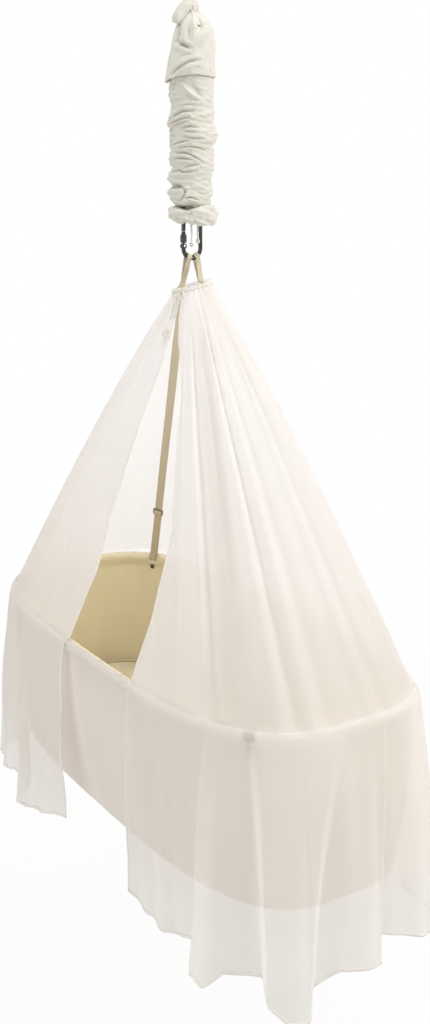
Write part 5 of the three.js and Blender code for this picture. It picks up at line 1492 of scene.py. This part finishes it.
def build_veil_strings():
    share = evenly(260)
    string = gather(share, STRING_OUT + 0.0004 * waves(98, share, 0 * share, 5, 19, 6))
    string[:, 2] += 0.0004 * waves(99, share, 0 * share, 3, 9, 5)
    drawstring = cord_shape("veil_drawstring_cord", string, STRING_RADIUS, closed=True)
    part_of(drawstring, "cradle", "cord", "veil_drawstring")
    x, y = knot_place("veil_bow_upper")
    build_bow("veil_bow_upper", (x, y, gather_z + gather_tilt(x, y)), 0.046, 0.018)
    x, y = knot_place("veil_bow_lower")
    build_bow("veil_bow_lower", (x, y, low("veil_bow_lower").z + 0.024), 0.024, 0.012)


build_veil_strings()


# Carabiner: one bent rod, a hinged gate and a knurled sleeve. Profiles are radius and distance along.
HINGE_LIFT = 0.0042
GATE_LIFT = 0.0051
NOSE_LENGTH = 0.009
EAR_FOOT = 0.0011
GATE_NECK = 0.0021
BARREL = 0.0053
KNURL = 0.00032
top_bow_z = high("carabiner_body").z - CARABINER_ROD - BOW_RADIUS
hinge = (0, -BOW_RADIUS, bottom_bow_z + HINGE_LIFT)
hinge_axis = (1, 0, 0)
EAR = (
    (0.0018, 0.00182), (0.0041, 0.00182), (0.0044, 0.0021), (0.0045, 0.0026), (0.0045, 0.0036),
    (0.0043, 0.0040), (0.0018, 0.0040),
)
PIN_END = ((0.0002, 0.0045), (0.0016, 0.0044), (0.0019, 0.0041), (0.0016, 0.0039), (0.0014, 0.0038))
GATE_FOOT = ((0.0004, 0), (0.0029, 0), (0.0034, 0.0005), (0.0035, 0.0011))
GATE_HEAD = (
    (0.0035, -0.0034), (0.0031, -0.0030), (0.0031, -0.0022), (0.0035, -0.0018), (0.0035, -0.0006),
    (0.0032, -0.0001), (0.0004, 0),
)
GATE_DISC = (
    (0.0019, -0.0015), (0.0038, -0.0015), (0.0040, -0.0012), (0.0040, 0.0012), (0.0038, 0.0015),
    (0.0019, 0.0015),
)
# radius by share of the sleeve's length, the same at both ends
SLEEVE_END = (
    (0.0038, 0), (0.0048, 0), (0.0051, 0.03), (0.0051, 0.10), (0.0047, 0.13), (0.0047, 0.16),
    (0.0052, 0.18),
)


def upright(start, end, count, x=0.0, y=-BOW_RADIUS):
    return [(x, y, z) for z in np.linspace(start, end, count)]


def bent(centre_z, start, end):
    angles = np.linspace(start, end, 40)
    return [(0, BOW_RADIUS * math.cos(a), centre_z + BOW_RADIUS * math.sin(a)) for a in angles]


def build_body():
    nose = upright(top_bow_z - NOSE_LENGTH, top_bow_z, 9)[:-1]
    back = upright(top_bow_z, bottom_bow_z, 16, y=BOW_RADIUS)[1:-1]
    path = nose + bent(top_bow_z, math.pi, 0) + back + bent(bottom_bow_z, 0, -math.pi)
    radius = np.full(len(path), CARABINER_ROD)
    radius[:2] = CARABINER_ROD * 0.82, CARABINER_ROD * 0.97
    pieces = [tube_piece("carabiner_rod", path, radius, dark_metal, sides=24, first=hinge_axis)]
    for side in (-1, 1):
        profile = [(r, side * a) for r, a in EAR]
        foot = upright(bottom_bow_z - 0.0030, hinge[2] - 0.0005, 6, side * 0.0029)
        pieces.append(turned_piece(f"ear_{side}", profile, hinge, hinge_axis, dark_metal, 40))
        pieces.append(tube_piece(f"ear_foot_{side}", foot, EAR_FOOT, dark_metal, first=hinge_axis))
    part_of(join("carabiner_rod", *pieces), "carabiner", "dark_steel", "carabiner_body")
    profile = [*PIN_END, *[(r, -a) for r, a in PIN_END[::-1]]]
    pin = turned_piece("carabiner_pin", profile, hinge, hinge_axis, chrome, 28)
    part_of(pin, "carabiner", "bright_steel", "carabiner_gate_pin")


def build_gate():
    top, bottom = high("carabiner_gate").z, hinge[2] + GATE_LIFT
    profile = [(r, bottom + a) for r, a in GATE_FOOT] + [(r, top + a) for r, a in GATE_HEAD]
    neck = upright(hinge[2] + 0.002, bottom + 0.0006, 5)
    pieces = [
        turned_piece("gate_rod", profile, (0, -BOW_RADIUS, 0), (0, 0, 1), dark_metal, 28),
        turned_piece("gate_disc", GATE_DISC, hinge, hinge_axis, dark_metal, 36),
        tube_piece("gate_neck", neck, GATE_NECK, dark_metal, sides=16, first=hinge_axis, flatten=0.7),
    ]
    part_of(join("carabiner_gate_rod", *pieces), "gate", "dark_steel", "carabiner_gate")


def build_gate_sleeve():
    bottom = low("carabiner_gate_sleeve").z
    length = high("carabiner_gate_sleeve").z - bottom
    sides = 96
    angle = angles_round(sides)
    barrel = [(BARREL, t) for t in np.linspace(0.2, 0.8, 22)]
    rings = []
    for r, t in [*SLEEVE_END, *barrel, *[(r, 1 - t) for r, t in SLEEVE_END[::-1]]]:
        knurl = KNURL * smooth(t, 0.17, 0.21) * (1 - smooth(t, 0.79, 0.83))
        pattern = np.abs(np.sin(12 * angle + 34 * t)) + np.abs(np.sin(12 * angle - 34 * t))
        out = r - knurl * (1.6 - pattern)
        height = np.full(sides, bottom + length * t)
        rings.append(np.stack([out * np.cos(angle), out * np.sin(angle) - BOW_RADIUS, height], -1))
    faces = tube_faces(len(rings), sides, closed=True)
    sleeve = mesh_piece("carabiner_screw_sleeve", rings, faces, sleeve_metal)
    part_of(sleeve, "gate_sleeve", "bright_steel", "carabiner_gate_sleeve")


build_body()
build_gate()
build_gate_sleeve()


# Camera as fitted to the photograph, in its pixels, and lamps, floor and sky
PHOTO_HEIGHT = 1024
FOCAL = 1278.4
CENTRE_ROW = 340.1
SENSOR = 36
CAMERA_PLACE = (1.8185, -1.1231, hoop_z + 0.8116)
CAMERA_WAY = (-0.8412, 0.5407)
CAMERA_DOWN = math.radians(8)
# name, place, target, size, power and colour
LAMPS = (
    ("key", (2.5, 2.0, 0.9), (0, 0, -0.7), (1.6, 1.6), 88, (1.0, 0.995, 0.985)),
    ("top", (0.5, -0.6, 2.3), (0, 0, -1.0), (1.8, 1.8), 42, (1.0, 1.0, 1.0)),
    ("fill", (0.1, -3.0, -0.4), (0, 0, -1.1), (3.0, 2.4), 34, (1.0, 0.995, 0.99)),
    ("back", (-2.6, 1.6, 0.6), (0, 0, -0.9), (2.0, 2.0), 28, (1.0, 1.0, 1.0)),
)
SKY = (0.98, 0.985, 1.0, 1)
SKY_STRENGTH = 0.43
FLOOR_DROP = 0.42
FLOOR_HALF = 9.0
# near the object the floor glows a little less, so that its shadow stays on the floor
FLOOR_GLOW = {"From Min": 1.9, "From Max": 3.4, "To Min": 0.86, "To Max": 1.0}
SLIDER_BEVEL = 0.00035


def aimed(name, data, place, way):
    """Puts a camera or lamp in the scene, looking along a direction."""
    obj = bpy.data.objects.new(name, data)
    scene.collection.objects.link(obj)
    obj.location = place
    obj.rotation_mode = "QUATERNION"
    obj.rotation_quaternion = way.to_track_quat("-Z", "Y")
    return obj


def build_stage():
    eye = bpy.data.cameras.new("camera")
    level = math.cos(CAMERA_DOWN)
    way = Vector((CAMERA_WAY[0] * level, CAMERA_WAY[1] * level, -math.sin(CAMERA_DOWN)))
    scene.camera = aimed("camera", eye, CAMERA_PLACE, way)
    eye.sensor_fit = "VERTICAL"
    eye.sensor_height = SENSOR
    eye.sensor_width = SENSOR
    eye.lens = FOCAL / PHOTO_HEIGHT * SENSOR
    eye.shift_y = -(PHOTO_HEIGHT / 2 - CENTRE_ROW) / PHOTO_HEIGHT
    eye.clip_start = 0.05
    eye.clip_end = 60
    for name, place, target, size, power, colour in LAMPS:
        lamp = bpy.data.lights.new(name, "AREA")
        lamp.shape = "RECTANGLE"
        lamp.size, lamp.size_y = size
        lamp.energy = power
        lamp.color = colour
        aimed(name, lamp, place, Vector(target) - Vector(place))

    world = bpy.data.worlds.new("studio")
    scene.world = world
    world.use_nodes = True
    sky = Nodes(world.node_tree)
    studio = world.node_tree.nodes["Background"]
    studio.inputs["Color"].default_value = SKY
    studio.inputs["Strength"].default_value = SKY_STRENGTH
    white = sky.add("Background", {"Color": (255, 255, 255), "Strength": 1.0})
    seen = sky.mixed(sky.seen_directly(), studio.outputs[0], white.outputs[0])
    sky.put(world.node_tree.nodes["World Output"].inputs["Surface"], seen)

    floor_z = cad_low.z - FLOOR_DROP
    corners = [(x * FLOOR_HALF, y * FLOOR_HALF, floor_z) for x, y in ((-1, -1), (1, -1), (1, 1), (-1, 1))]
    pale = Shader("pale_floor", 0.8, Base_Color=(236, 235, 233))
    away = pale.add("VectorMath", {0: pale.place()}, operation="LENGTH").outputs["Value"]
    inputs = {"Value": away, **FLOOR_GLOW}
    fade = pale.add("MapRange", inputs, interpolation_type="SMOOTHSTEP").outputs["Result"]
    glow = pale.add("Emission", {"Strength": 1.0}).outputs[0]
    share = pale.math("MULTIPLY", pale.seen_directly(), fade)
    pale.finish_with(pale.mixed(share, pale.surface.outputs[0], glow))
    floor = mesh_piece("floor", corners, [(0, 1, 2, 3)], pale.material)


build_stage()

# CAD nodes that keep their own shape
kept_nodes = {
    "base_board": plywood,
    **{"hoop_" + name: hoop_steel for name in ("rod_head", "rod_foot", "ferrule_near", "ferrule_far")},
    **dict.fromkeys(("hang_ring", "hang_link", "spring_hook_upper", "spring_hook_lower"), chrome),
    **{"strap_slider_" + corner: slider_metal for corner in STRAP_SHARES},
}
for name, surface in kept_nodes.items():
    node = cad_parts[name]
    node.data.materials.clear()
    node.data.materials.append(surface)
    if name.startswith("strap_slider"):
        bevel = node.modifiers.new("bevel", "BEVEL")
        bevel.width = SLIDER_BEVEL
        bevel.segments = 2

scene.view_settings.view_transform = "Standard"
